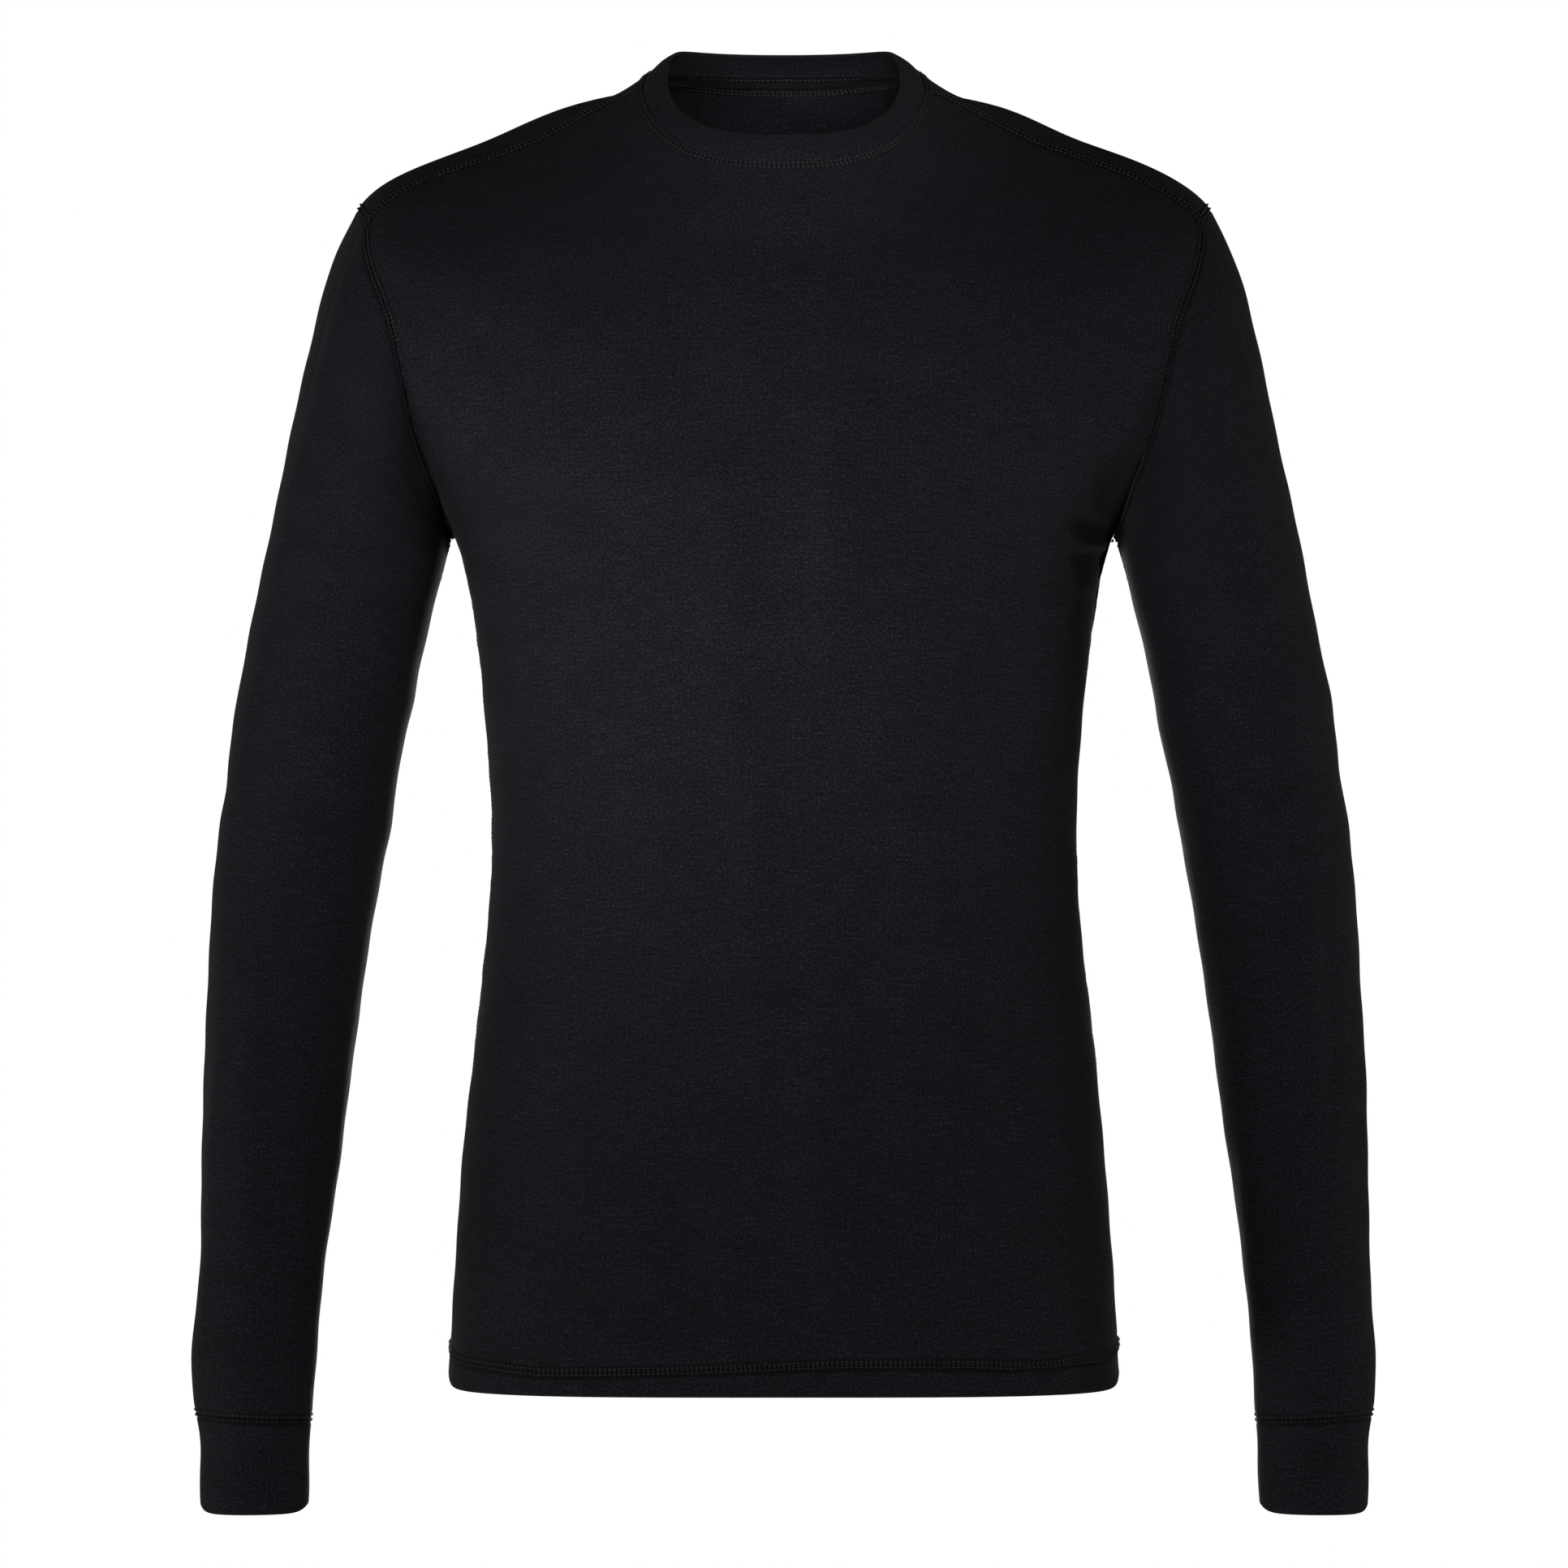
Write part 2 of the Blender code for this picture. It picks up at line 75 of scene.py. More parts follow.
# %% The rings' table
BODY_COLUMNS = (
    "station half_width side_y side_z front_y front_z back_y back_z"
    " front_square front_round front_level back_square back_round back_level"
).split()
BODY = (
    (0, 177.0, 2, -691.4, -114, -692.2, 121, -691, 3.8, 3.0, 1.0, 3.0, 3.0, 1.0),
    (86, 172.2, 2, -605.0, -109, -605, 115, -605, 3.0, 3.0, 1.0, 2.7, 3.0, 1.0),
    (172, 164.5, 2, -519.0, -104, -519, 99, -519, 2.6, 3.0, 1.0, 2.5, 3.0, 1.0),
    (258, 155.8, 2, -433.0, -103, -433, 86, -433, 2.4, 3.0, 1.0, 2.4, 3.0, 1.0),
    (310, 155.2, 2, -381.0, -107, -381, 89, -381, 2.4, 3.0, 1.0, 2.4, 3.0, 1.0),
    (360, 158.9, 3, -331.0, -113, -331, 97, -331, 2.4, 3.0, 1.0, 2.4, 3.0, 1.0),
    (404, 164.3, 3, -287.0, -117.5, -287, 105, -287, 2.35, 3.0, 1.0, 2.4, 3.0, 1.0),
    (447, 174.8, 3, -244.0, -119.5, -245, 110, -242, 2.25, 3.0, 1.0, 2.35, 3.0, 1.0),
    (487, 197.0, 3, -206.0, -118, -222, 112, -212, 2.2, 3.0, 1.0, 2.3, 3.0, 1.0),
    (527, 226.0, 3, -166.0, -115, -199, 112, -180, 2.15, 3.0, 1.0, 2.3, 3.0, 1.0),
    (567, 242.0, 4, -127.0, -111.5, -178, 109, -150, 2.15, 3.0, 1.0, 2.3, 3.0, 1.0),
    (602, 237.0, 5, -93.0, -107, -159, 105, -127, 2.3, 2.5, 1.0, 2.35, 2.5, 1.0),
    (625, 225.0, 6, -69.5, -103.5, -146, 101, -111, 2.45, 2.0, 1.0, 2.35, 2.0, 1.0),
    (643, 211.5, 6, -57.6, -100, -134, 97, -97, 2.4, 2.0, 1.0, 2.3, 1.6, 1.0),
    (668, 188.0, 7, -46.3, -95, -117, 91, -78, 2.3, 2.0, 1.0, 2.2, 1.2, 1.1),
    (705, 152.9, 7, -32.4, -87, -94, 83, -51, 2.2, 1.6, 1.05, 2.15, 0.8, 1.3),
    (742, 119.5, 4, -18.0, -79, -72, 73, -24, 2.15, 0.9, 1.2, 2.1, 0.5, 2.0),
    (788, 75.3, -13, -10.0, -70, -52, 62, 4.5, 2.2, 0.22, 1.17, 1.85, 0.15, 8.0),
)
ARMPIT = 447
SHOULDER_POINT = 625
NECK = 788
print(len(BODY), "rings from the hem to the neck")

# %% [markdown]
# A natural cubic spline goes through every row of a table and bends as little as it can between
# them. The same function serves the body, the sleeves and the panel edges.

# %% Smooth curves through a table


def smooth_through(knots, values, at):
    """Values at the stations at, on a natural cubic spline through each column of values."""
    knots, values, at = np.asarray(knots, float), np.asarray(values, float), np.asarray(at, float)
    steps = np.diff(knots)
    count = len(knots)
    matrix = np.eye(count)
    right = np.zeros_like(values)
    for i in range(1, count - 1):
        matrix[i, i - 1 : i + 2] = steps[i - 1], 2 * (steps[i - 1] + steps[i]), steps[i]
        slopes = (values[i + 1] - values[i]) / steps[i], (values[i] - values[i - 1]) / steps[i - 1]
        right[i] = 6 * (slopes[0] - slopes[1])
    bend = np.linalg.solve(matrix, right)
    i = np.clip(np.searchsorted(knots, at, side="right") - 1, 0, count - 2)
    step = steps[i][:, None]
    before, after = (at - knots[i])[:, None], (knots[i + 1] - at)[:, None]
    cubic = (bend[i] * after**3 + bend[i + 1] * before**3) / (6 * step)
    start = (values[i] / step - bend[i] * step / 6) * after
    end = (values[i + 1] / step - bend[i + 1] * step / 6) * before
    return cubic + start + end


def rows_of(columns, table, at):
    """One dict of named values for each station in at."""
    table = np.array(table, float)
    return [dict(zip(columns[1:], row)) for row in smooth_through(table[:, 0], table[:, 1:], at)]


waist = rows_of(BODY_COLUMNS, BODY, [290])[0]
print("half the waist's width:", round(waist["half_width"], 1), "mm")

# %% Points of one ring
RING_SAMPLES = 721


def share_of_drop(across, roundness, level):
    """How far a ring has gone in height from its side, 0, to its middle, 1. across runs likewise."""
    rounded = (np.sqrt(across**2 + roundness**2) - roundness) / (math.hypot(1, roundness) - roundness)
    return 1 - np.maximum(1 - rounded, 0) ** level


def body_ring(row):
    """Points from the front middle over the +X side to the back middle, in metres."""
    angle = np.linspace(0, math.pi, RING_SAMPLES)
    across, out = np.abs(np.cos(angle)), np.sin(angle)
    points = np.empty((RING_SAMPLES, 3))
    for front, face in ((True, "front"), (False, "back")):
        half = angle <= math.pi / 2 if front else angle > math.pi / 2
        power = 2 / row[face + "_square"]
        points[half, 0] = row["half_width"] * out[half] ** power
        points[half, 1] = row["side_y"] + (row[face + "_y"] - row["side_y"]) * across[half] ** power
        drop = share_of_drop(across[half] ** power, row[face + "_round"], row[face + "_level"])
        points[half, 2] = row["side_z"] + (row[face + "_z"] - row["side_z"]) * drop
    return points * MM


def lengths_along(points):
    """The length along a line of points at which each of them lies."""
    return np.concatenate([[0], np.cumsum(np.linalg.norm(np.diff(points, axis=0), axis=1))])


def points_at(points, at):
    """The points at these lengths along a line of points."""
    lengths = lengths_along(points)
    return np.stack([np.interp(at, lengths, points[:, k]) for k in range(points.shape[1])], axis=1)


def length_at_depth(points, y):
    """How far along a ring, from its front middle, the depth y is reached."""
    return float(np.interp(y, points[:, 1], lengths_along(points)))


print("round the waist:", round(2 * lengths_along(body_ring(waist))[-1], 3), "m")

# %% [markdown]
# ## Where the panels end
#
# The armhole is a curve across the rings: it starts at the armpit on the side line, swings in
# over the chest and comes back to the top of the shoulder. The shoulder seam of this top lies
# a little forward of the shoulder's crest, because the back panel is cut long enough to come
# over it. Both are tables of the depth at which a panel's edge crosses the rings.

# %% The panel edges' tables
EDGE_COLUMNS = "share front_y back_y".split()
ARMHOLE = (
    (0.00, 3, 3),
    (0.10, -22, 28),
    (0.25, -44, 48),
    (0.45, -60, 62),
    (0.65, -64, 66),
    (0.85, -54, 60),
    (1.00, -31, 42),
)
SHOULDER_SEAM = (
    (0.0, -31, 42),
    (0.3, -27, 40),
    (0.6, -28, 36),
    (1.0, -13, 28),
)


def edges_at(station, side_y):
    """The depths, in metres, of the front panel's edge and of the back panel's on a ring."""
    if station <= ARMPIT:
        return side_y * MM, side_y * MM
    if station <= SHOULDER_POINT:
        table, start, end = ARMHOLE, ARMPIT, SHOULDER_POINT
    else:
        table, start, end = SHOULDER_SEAM, SHOULDER_POINT, NECK
    row = rows_of(EDGE_COLUMNS, table, [(station - start) / (end - start)])[0]
    return row["front_y"] * MM, row["back_y"] * MM


print("armhole:", len(ARMHOLE), "points; shoulder seam:", len(SHOULDER_SEAM), "points")

# %% [markdown]
# ## A grid that is fine where the sewing is
#
# Smooth cloth needs a point only every few millimetres, but a flat seam is 5 mm wide and has two
# ridges and three grooves. An even grid fine enough for the seams would have millions of faces.
# So rows and columns crowd together next to each seam, at fixed distances, and are even elsewhere.

# %% Rows and columns
NEAR_SEAM = np.array((0, 0.6, 1.2, 1.8, 2.4, 3.0, 3.7, 4.6, 6.0, 8.0, 11.0, 15.0))
HEM_ROWS = (0, 0.3, 0.8, 1.6, 2.8, 4.5, 6.5, 8, 9, *np.arange(9.7, 21, 0.7), 22, 24, 27, 31)
EVEN_STEP = 4.0  # between the rows of plain cloth
FINER_FROM = ARMPIT - 40  # from here up to the armpit the rows are twice as close
HALF_PANEL_COLUMNS = 44
OVER_SHOULDER_COLUMNS = 12


def even_steps(start, end, step):
    """Stations from start to end, about one step apart."""
    return np.linspace(start, end, max(2, round((end - start) / step) + 1))


def crowded(length, count):
    """Places from 0 to length, in metres, even at first and crowded at the far end."""
    near = length - NEAR_SEAM[::-1] * MM
    return np.concatenate([np.linspace(0, near[0], count + 1)[:-1], near])


def body_stations():
    """The stations of the body's rows, crowded at the hem, armpit, shoulder point and neck."""
    stretches = [
        HEM_ROWS,
        even_steps(HEM_ROWS[-1], FINER_FROM, EVEN_STEP)[1:],
        even_steps(FINER_FROM, ARMPIT, EVEN_STEP / 2)[1:],
        ARMPIT + NEAR_SEAM[1:],
        even_steps(ARMPIT + NEAR_SEAM[-1], SHOULDER_POINT - NEAR_SEAM[-1], EVEN_STEP)[1:],
        SHOULDER_POINT - NEAR_SEAM[-2::-1],
        SHOULDER_POINT + NEAR_SEAM[1:],
        even_steps(SHOULDER_POINT + NEAR_SEAM[-1], NECK - NEAR_SEAM[-1], EVEN_STEP)[1:],
        NECK - NEAR_SEAM[-2::-1],
    ]
    return np.concatenate(stretches)


STATIONS = body_stations()
ARMPIT_ROW = int(np.argmin(abs(STATIONS - ARMPIT)))
SHOULDER_ROW = int(np.argmin(abs(STATIONS - SHOULDER_POINT)))
print(len(STATIONS), "rows; the armhole takes rows", ARMPIT_ROW, "to", SHOULDER_ROW)

# %% [markdown]
# An open edge of a worn top isn't quite level. Where the cloth turns round the side, the stitched
# fold pulls it up by a few millimetres, so from the front the corners look rounded.

# %% Corners of an open edge
HEM_CORNER = dict(lift=4.5, reach=2.2, fade=13)
CUFF_CORNER = dict(lift=3.4, reach=2.6, fade=9)


def corner_lift(inward, from_edge, lift, reach, fade, power=1.4):
    """How far the cloth is drawn up, in m, this far in from the side and from the edge, in mm."""
    return lift * MM * np.exp(-inward / reach) * np.clip(1 - from_edge / fade, 0, 1) ** power


print("drawn up at the hem's side:", round(float(corner_lift(0, 0, **HEM_CORNER)) / MM, 1), "mm")

# %% The half of the body at +X


def with_lengths(points, across):
    """Cloth coordinates in metres: across, and how far up each column is from the first row."""
    steps = np.linalg.norm(np.diff(points, axis=0), axis=2)
    above = np.concatenate([np.zeros((1, points.shape[1])), np.cumsum(steps, axis=0)])
    return np.stack([across, above], axis=2)


def half_body():
    """Grids of points and of cloth coordinates for the front, over the shoulder and the back."""
    grids = {"front": ([], []), "over": ([], []), "back": ([], [])}
    for station, row in zip(STATIONS, rows_of(BODY_COLUMNS, BODY, STATIONS)):
        ring = body_ring(row)
        ring[:, 2] += corner_lift(row["half_width"] - ring[:, 0] / MM, station, **HEM_CORNER)
        front_edge, back_edge = (length_at_depth(ring, y) for y in edges_at(station, row["side_y"]))
        whole = lengths_along(ring)[-1]
        front_at = crowded(front_edge, HALF_PANEL_COLUMNS)
        over_at = back_edge - crowded(back_edge - front_edge, OVER_SHOULDER_COLUMNS)[::-1]
        if station < SHOULDER_POINT:
            over_at = np.full(len(over_at), back_edge)
        back_at = whole - crowded(whole - back_edge, HALF_PANEL_COLUMNS)[::-1]
        for name, at, across in (
            ("front", front_at, front_at),
            ("over", over_at, whole - over_at),
            ("back", back_at, whole - back_at),
        ):
            grids[name][0].append(points_at(ring, at))
            grids[name][1].append(across)
    made = {name: [np.array(grid) for grid in pair] for name, pair in grids.items()}
    return {name: (points, with_lengths(points, across)) for name, (points, across) in made.items()}


HALF = half_body()
print("half grids:", {name: points.shape[:2] for name, (points, cloth) in HALF.items()})

# %% [markdown]
# ## The sleeves and cuffs
#
# A sleeve is a tube whose first ring is the armhole itself. Its rings turn gradually from that
# sloping curve into rings square to the arm, and the forearm comes forward as a relaxed arm
# does. The cuff is a doubled band that continues the tube.

# %% The sleeve's tables
SLEEVE_COLUMNS = "station outer_x outer_z inner_x inner_z front_y back_y square".split()
SLEEVE = (
    (0, 225.0, -69.5, 174.8, -244.0, -64, 66, 2.0),
    (24, 238.4, -97.0, 175.7, -246.5, -65, 66, 2.0),
    (55, 247.1, -127.0, 177.0, -250.0, -64, 65, 2.0),
    (90, 255.3, -164.0, 178.6, -255.5, -62, 64, 2.05),
    (130, 264.3, -205.0, 180.8, -263.0, -60, 63, 2.1),
    (178, 274.3, -252.0, 184.8, -278.0, -57, 61, 2.1),
    (240, 284.9, -306.0, 194.9, -322.0, -52, 60, 2.1),
    (306, 295.1, -368.0, 206.3, -383.0, -46, 57, 2.1),
    (376, 302.6, -432.0, 217.1, -444.0, -44, 53, 2.1),
    (448, 306.3, -500.0, 226.6, -509.0, -48, 43, 2.1),
    (520, 307.8, -570.0, 235.2, -577.0, -54, 26, 2.1),
    (592, 308.8, -640.0, 243.3, -645.0, -60, 9, 2.1),
    (658, 309.4, -705.0, 248.0, -708.0, -62, -6, 2.1),
)
CUFF = (
    (666, 307.8, -713.5, 248.7, -715.5, -61.5, -8, 2.1),
    (686, 306.9, -733.0, 249.2, -734.0, -63, -11, 2.1),
    (710, 306.3, -757.5, 249.6, -757.0, -65.5, -14.5, 2.1),
)
CUFF_JOIN = SLEEVE[-1][0]
CUFF_END = CUFF[-1][0]
CUFF_END_ROWS = (3.7, 2.8, 1.6, 0.8, 0.3, 0)  # how far the last rows are from the cuff's end
ARMHOLE_SETTLES = 150  # station by which a sleeve ring has lost the armhole's own shape
print("sleeve:", CUFF_JOIN, "mm and cuff:", CUFF_END - CUFF_JOIN, "mm along the outside")

# %% The tube's rings


def armhole_loop():
    """The seam round the +X armhole: up the front, back over the top and down to the armpit."""
    front, over, back = (HALF[name][0] for name in ("front", "over", "back"))
    up_front = front[ARMPIT_ROW : SHOULDER_ROW + 1, -1]
    over_top = over[SHOULDER_ROW, 1:]
    down_back = back[ARMPIT_ROW:SHOULDER_ROW, 0][::-1]
    return np.concatenate([up_front, over_top, down_back[:-1]])


def sleeve_angles(loop):
    """Each armhole point's angle round the sleeve: 0 at the armpit, half a turn on top."""
    row = dict(zip(SLEEVE_COLUMNS, SLEEVE[0]))
    inner = np.array([row["inner_x"], row["inner_z"]]) * MM
    outer = np.array([row["outer_x"], row["outer_z"]]) * MM
    middle, reach = (inner + outer) / 2, (outer - inner) / 2
    up = ((loop[:, [0, 2]] - middle) @ reach) / (reach @ reach)
    middle_y, depth = (row["front_y"] + row["back_y"]) / 2, (row["back_y"] - row["front_y"]) / 2
    return np.arctan2(-(loop[:, 1] / MM - middle_y) / depth, -up) % (2 * math.pi)


def sleeve_ring(row, angle):
    """The points at these angles of a sleeve or cuff ring, in metres."""
    inner = np.array([row["inner_x"], row["inner_z"]])
    outer = np.array([row["outer_x"], row["outer_z"]])
    power = 2 / row["square"]
    up, forward = -np.cos(angle), np.sin(angle)
    up = np.sign(up) * np.abs(up) ** power
    forward = np.sign(forward) * np.abs(forward) ** power
    flat = (inner + outer) / 2 + up[:, None] * (outer - inner) / 2
    middle_y, depth = (row["front_y"] + row["back_y"]) / 2, (row["back_y"] - row["front_y"]) / 2
    return np.stack([flat[:, 0], middle_y - forward * depth, flat[:, 1]], axis=1) * MM


def tube_stations():
    """The stations of the sleeve's rows, and then of the cuff's."""
    sleeve = np.concatenate([
        NEAR_SEAM,
        even_steps(NEAR_SEAM[-1], CUFF_JOIN - NEAR_SEAM[-1], EVEN_STEP)[1:],
        CUFF_JOIN - NEAR_SEAM[-2::-1],
    ])
    cuff = np.concatenate([
        CUFF_JOIN + NEAR_SEAM,
        even_steps(CUFF_JOIN + NEAR_SEAM[-1], CUFF_END - CUFF_END_ROWS[0], EVEN_STEP)[1:],
        CUFF_END - np.array(CUFF_END_ROWS[1:]),
    ])
    return sleeve, cuff


def around_from_top(rings):
    """Cloth coordinates across a tube, in metres: 0 along its outer side."""
    closed = np.concatenate([rings, rings[:, :1]], axis=1)
    steps = np.linalg.norm(np.diff(closed, axis=1), axis=2)
    along = np.concatenate([np.zeros((len(rings), 1)), np.cumsum(steps, axis=1)], axis=1)
    return along - along[:, -1:] / 2


def level_ended(share):
    """A share from 0 to 1, bent so that it starts and ends level."""
    return share**2 * (3 - 2 * share)


def tube(loop):
    """Points and cloth coordinates of the +X sleeve and cuff, from the armhole down."""
    angle = sleeve_angles(loop)
    made = {}
    for name, table, stations in zip(
        ("sleeve", "cuff"), (SLEEVE + CUFF[:1], SLEEVE[-1:] + CUFF), tube_stations()
    ):
        rows = rows_of(SLEEVE_COLUMNS, table, stations)
        rings = np.array([sleeve_ring(row, angle) for row in rows])
        if name == "sleeve":
            misfit = loop - rings[0]
            left = np.clip(1 - stations / ARMHOLE_SETTLES, 0, 1)[:, None, None]
            rings = rings + misfit * level_ended(left)
            last = rings[-1]
        else:
            rings[0] = last
            for ring, row, station in zip(rings, rows, stations):
                middle_x = (row["outer_x"] + row["inner_x"]) / 2
                half = (row["outer_x"] - row["inner_x"]) / 2
                inward = half - abs(ring[:, 0] / MM - middle_x)
                ring[:, 2] += corner_lift(inward, CUFF_END - station, **CUFF_CORNER)
        across = around_from_top(rings)
        down = np.repeat(-stations[:, None] * MM, across.shape[1], axis=1)
        made[name] = rings, np.stack([across, down], axis=2)
    return made


LOOP = armhole_loop()
TUBE = tube(LOOP)
print("armhole:", round(lengths_along(np.vstack([LOOP, LOOP[:1]]))[-1], 3), "m round")

# %% [markdown]
# ## One skin
#
# All panels go into one mesh, and points that coincide become one point. A normal at a seam then
# belongs to both panels, so the surface stays smooth across it and no gap opens when we move it.

# %% Gather the panels
SAME_POINT = 0.001 * MM  # points nearer than this become one


def mirrored(points):
    """The same points on the garment's other side."""
    return points * np.array([-1, 1, 1])


def unit(vectors):
    """The vectors at length 1."""
    return vectors / np.maximum(np.linalg.norm(vectors, axis=-1, keepdims=True), 1e-12)


class Skin:
    """Every panel's faces over one shared list of points, with flat cloth coordinates."""

    def __init__(self):
        self.points, self.faces, self.cloth, self.panel = [], [], [], []
        self.names = []
        self.count = 0

    def add_grid(self, name, points, cloth, around=False):
        """Adds the faces of a grid whose columns run to the right and rows up, from outside."""
        if name not in self.names:
            self.names.append(name)
        rows, columns = points.shape[:2]
        index = self.count + np.arange(rows * columns).reshape(rows, columns)
        self.count += rows * columns
        if around:
            index = np.concatenate([index, index[:, :1]], axis=1)
        self.points.append(points.reshape(-1, 3))
        corners = [(0, 0), (0, 1), (1, 1), (1, 0)]
        height, width = index.shape[0] - 1, index.shape[1] - 1

        def at_corners(grid):
            parts = [grid[r : r + height, c : c + width] for r, c in corners]
            return np.stack(parts, axis=2).reshape(height * width, 4, -1)

        self.faces.append(at_corners(index)[:, :, 0])
        self.cloth.append(at_corners(cloth))
        self.panel.append(np.full(height * width, self.names.index(name)))

    def weld(self):
        """Makes coinciding points one, and drops faces that have no area."""
        points = np.concatenate(self.points)
        keys = np.round(points / SAME_POINT).astype(np.int64)
        _, first, where = np.unique(keys, axis=0, return_index=True, return_inverse=True)
        self.points = points[first]
        self.faces = where.reshape(-1)[np.concatenate(self.faces)]
        self.cloth = np.concatenate(self.cloth)
        self.panel = np.concatenate(self.panel)
        repeated = sum(
            (self.faces[:, i] == self.faces[:, j]).astype(int)
            for i in range(4)
            for j in range(i + 1, 4)
        )
        keep = repeated == 0
        self.faces, self.cloth, self.panel = self.faces[keep], self.cloth[keep], self.panel[keep]

    def normals(self):
        """Each point's normal, from all the panels round it."""
        a, b, c, d = (self.points[self.faces[:, k]] for k in range(4))
        across = np.cross(c - a, d - b)
        total = np.zeros_like(self.points)
        for k in range(4):
            np.add.at(total, self.faces[:, k], across)
        return unit(total)


def both_sides(name):
    """A half panel's points and cloth coordinates, completed with its mirror image."""
    points, cloth = HALF[name]
    if name == "front":
        other = mirrored(points)[:, :0:-1], cloth[:, :0:-1] * [-1, 1]
        return np.concatenate([other[0], points], axis=1), np.concatenate([other[1], cloth], axis=1)
    other = mirrored(points)[:, -2::-1], cloth[:, -2::-1] * [-1, 1]
    return np.concatenate([points, other[0]], axis=1), np.concatenate([cloth, other[1]], axis=1)


skin = Skin()
skin.add_grid("front", *both_sides("front"))
skin.add_grid("back", *both_sides("back"))
over_points, over_cloth = (grid[SHOULDER_ROW:] for grid in HALF["over"])
skin.add_grid("back", over_points, over_cloth)
skin.add_grid("back", mirrored(over_points)[:, ::-1], over_cloth[:, ::-1] * [-1, 1])
for kind in ("sleeve", "cuff"):
    rings, cloth = TUBE[kind]
    skin.add_grid(kind + "_left", rings[::-1], cloth[::-1], around=True)
    rings, cloth = mirrored(rings)[::-1, ::-1], cloth[::-1, ::-1] * [-1, 1]
    skin.add_grid(kind + "_right", rings, cloth, around=True)
skin.weld()
print(len(skin.points), "points,", len(skin.faces), "faces")

# %% [markdown]
# ## Seams as lines
#
# Each seam is a line of points on the skin. The relief, the puckers and the stitches all measure
# from these lines, so a stitch can't drift off its seam.

# %% Collect the seam lines
UNDERARM_DRIFT = 16  # mm
DRIFT_STARTS, DRIFT_ENDS = 30, 250  # stations down the sleeve
FREE_AT_HEM, FREE_AT_CUFF = 4, 3  # how many rows next to an open edge a seam leaves free


def closed(line):
    """The line with its first point again at the end."""
    return np.concatenate([line, line[:1]])


def ring_both_sides(row):
    """A row of the body all the way round, from the front middle towards +X."""
    parts = [HALF["front"][0][row]]
    if STATIONS[row] >= SHOULDER_POINT:
        parts.append(HALF["over"][0][row][1:])
    parts.append(HALF["back"][0][row][1:])
    half = np.concatenate(parts)
    return np.concatenate([half, mirrored(half)[1:-1][::-1]])


def underarm_line():
    """The sleeve's seam: from the armpit it drifts a little to the back on its way to the cuff."""
    rings = np.concatenate([TUBE["sleeve"][0], TUBE["cuff"][0][1:-FREE_AT_CUFF]])
    sleeve, cuff = tube_stations()
    stations = np.concatenate([sleeve, cuff[1:-FREE_AT_CUFF]])
    share = np.clip((stations - DRIFT_STARTS) / (DRIFT_ENDS - DRIFT_STARTS), 0, 1)
    drift = UNDERARM_DRIFT * MM * level_ended(share)
    backwards = [closed(ring)[::-1] for ring in rings]
    return np.concatenate([points_at(ring, [by]) for ring, by in zip(backwards, drift)])


FRONT_EDGE = HALF["front"][0][:, -1]
LEFT_SEAMS = {
    "armhole": closed(LOOP),
    "shoulder": FRONT_EDGE[SHOULDER_ROW:],
    "side": FRONT_EDGE[FREE_AT_HEM : ARMPIT_ROW + 1],
    "underarm": underarm_line(),
    "cuff": closed(TUBE["cuff"][0][0]),
    "cuff_end": closed(TUBE["cuff"][0][-1]),
}
NECK_RING = ring_both_sides(-1)
SEAMS = {name: [line, mirrored(line)] for name, line in LEFT_SEAMS.items()}
SEAMS["neck"] = [closed(NECK_RING)]
SEAMS["hem"] = [closed(ring_both_sides(0))]
total = sum(lengths_along(line)[-1] for name, lines in SEAMS.items() for line in lines)
print(len(SEAMS), "kinds of seam and edge,", round(total, 2), "m in all")

# %% [markdown]
# ## Relief of a flat seam
# The furrows and the needle holes also get painted shade: the knit's colour is darkened there.
#
# The seams are flat ones: two needles sew two rows of stitches side by side, about 2.6 mm apart.
# Each row stands up like a small cord, and the cloth sinks in a furrow between the rows, in
# another one beside the lower row, and less deeply beside the upper one. We could model that as a
# separate strip, but then light would show a step. Here the cloth itself is raised and lowered by
# a height that depends only on how far it is from the furrow between the rows.
#
# `above` and `below` are the pieces on each side of the join. `middle` is how far from the join
# the furrow between the rows lies, in millimetres, into the piece that `above` names. At the neck
# that is the body, which hangs below its join. `strength` says how deep the relief is and how
# dark its painted shade is, and `sink` how far the thread is bedded into the cloth. The hem's rows
# wander a few millimetres up and down, as they do when a machine turns up a soft edge.

# %% The relief's table
SEWING_COLUMNS = "seam above below middle rows strength sink".split()
SEWING = (
    ("armhole", "front back", "sleeve", 0, 2.5, 1.05, 0.0),
    ("shoulder", "back", "front", 0, 3.0, 0.9, 0.0),
    ("side", "front", "back", 0, 2.6, 0.4, 0.35),
    ("underarm", "sleeve cuff", "", 0, 2.6, 0.4, 0.35),
    ("neck", "front back", "", 1.7, 2.5, 0.9, 0.0),
    ("hem", "front back", "", 0, 2.7, 1.2, 0.0),
    ("cuff", "sleeve", "cuff", -0.6, 2.6, 1.2, 0.25),
)
HEM_RISE_X = (-165, -146, -125, -105, -80, -52, -27, 0, 25, 50, 75, 95, 115, 140, 152, 165)
HEM_RISE = (
    15.5, 14.0, 12.4, 12.8, 13.4, 14.1, 15.0, 16.0,
    17.0, 17.3, 17.1, 16.9, 15.9, 16.2, 17.3, 17.3,
)
ROW_RAISED, ROW_WIDTH = 0.36, 0.9
FURROW, FURROW_WIDTH = 0.55, 0.6
UPPER_FURROW = 0.4  # how deep the furrow beside the upper row is, next to the others
FURROW_SHADE = (
    # how many rows up the furrow lies, how dark its painted shade is, and how wide that shade is
    (0, 0.9, 0.9),
    (-1, 1.0, 1.0),
    (1, 0.4, 0.8),
)
# Painted shade round the needle holes: how dark, how far out it reaches, and over how much it fades.
HOLE_SHADE, HOLE_REACH, HOLE_FADE = 0.75, 0.4, 0.8  # the dark round the needle holes
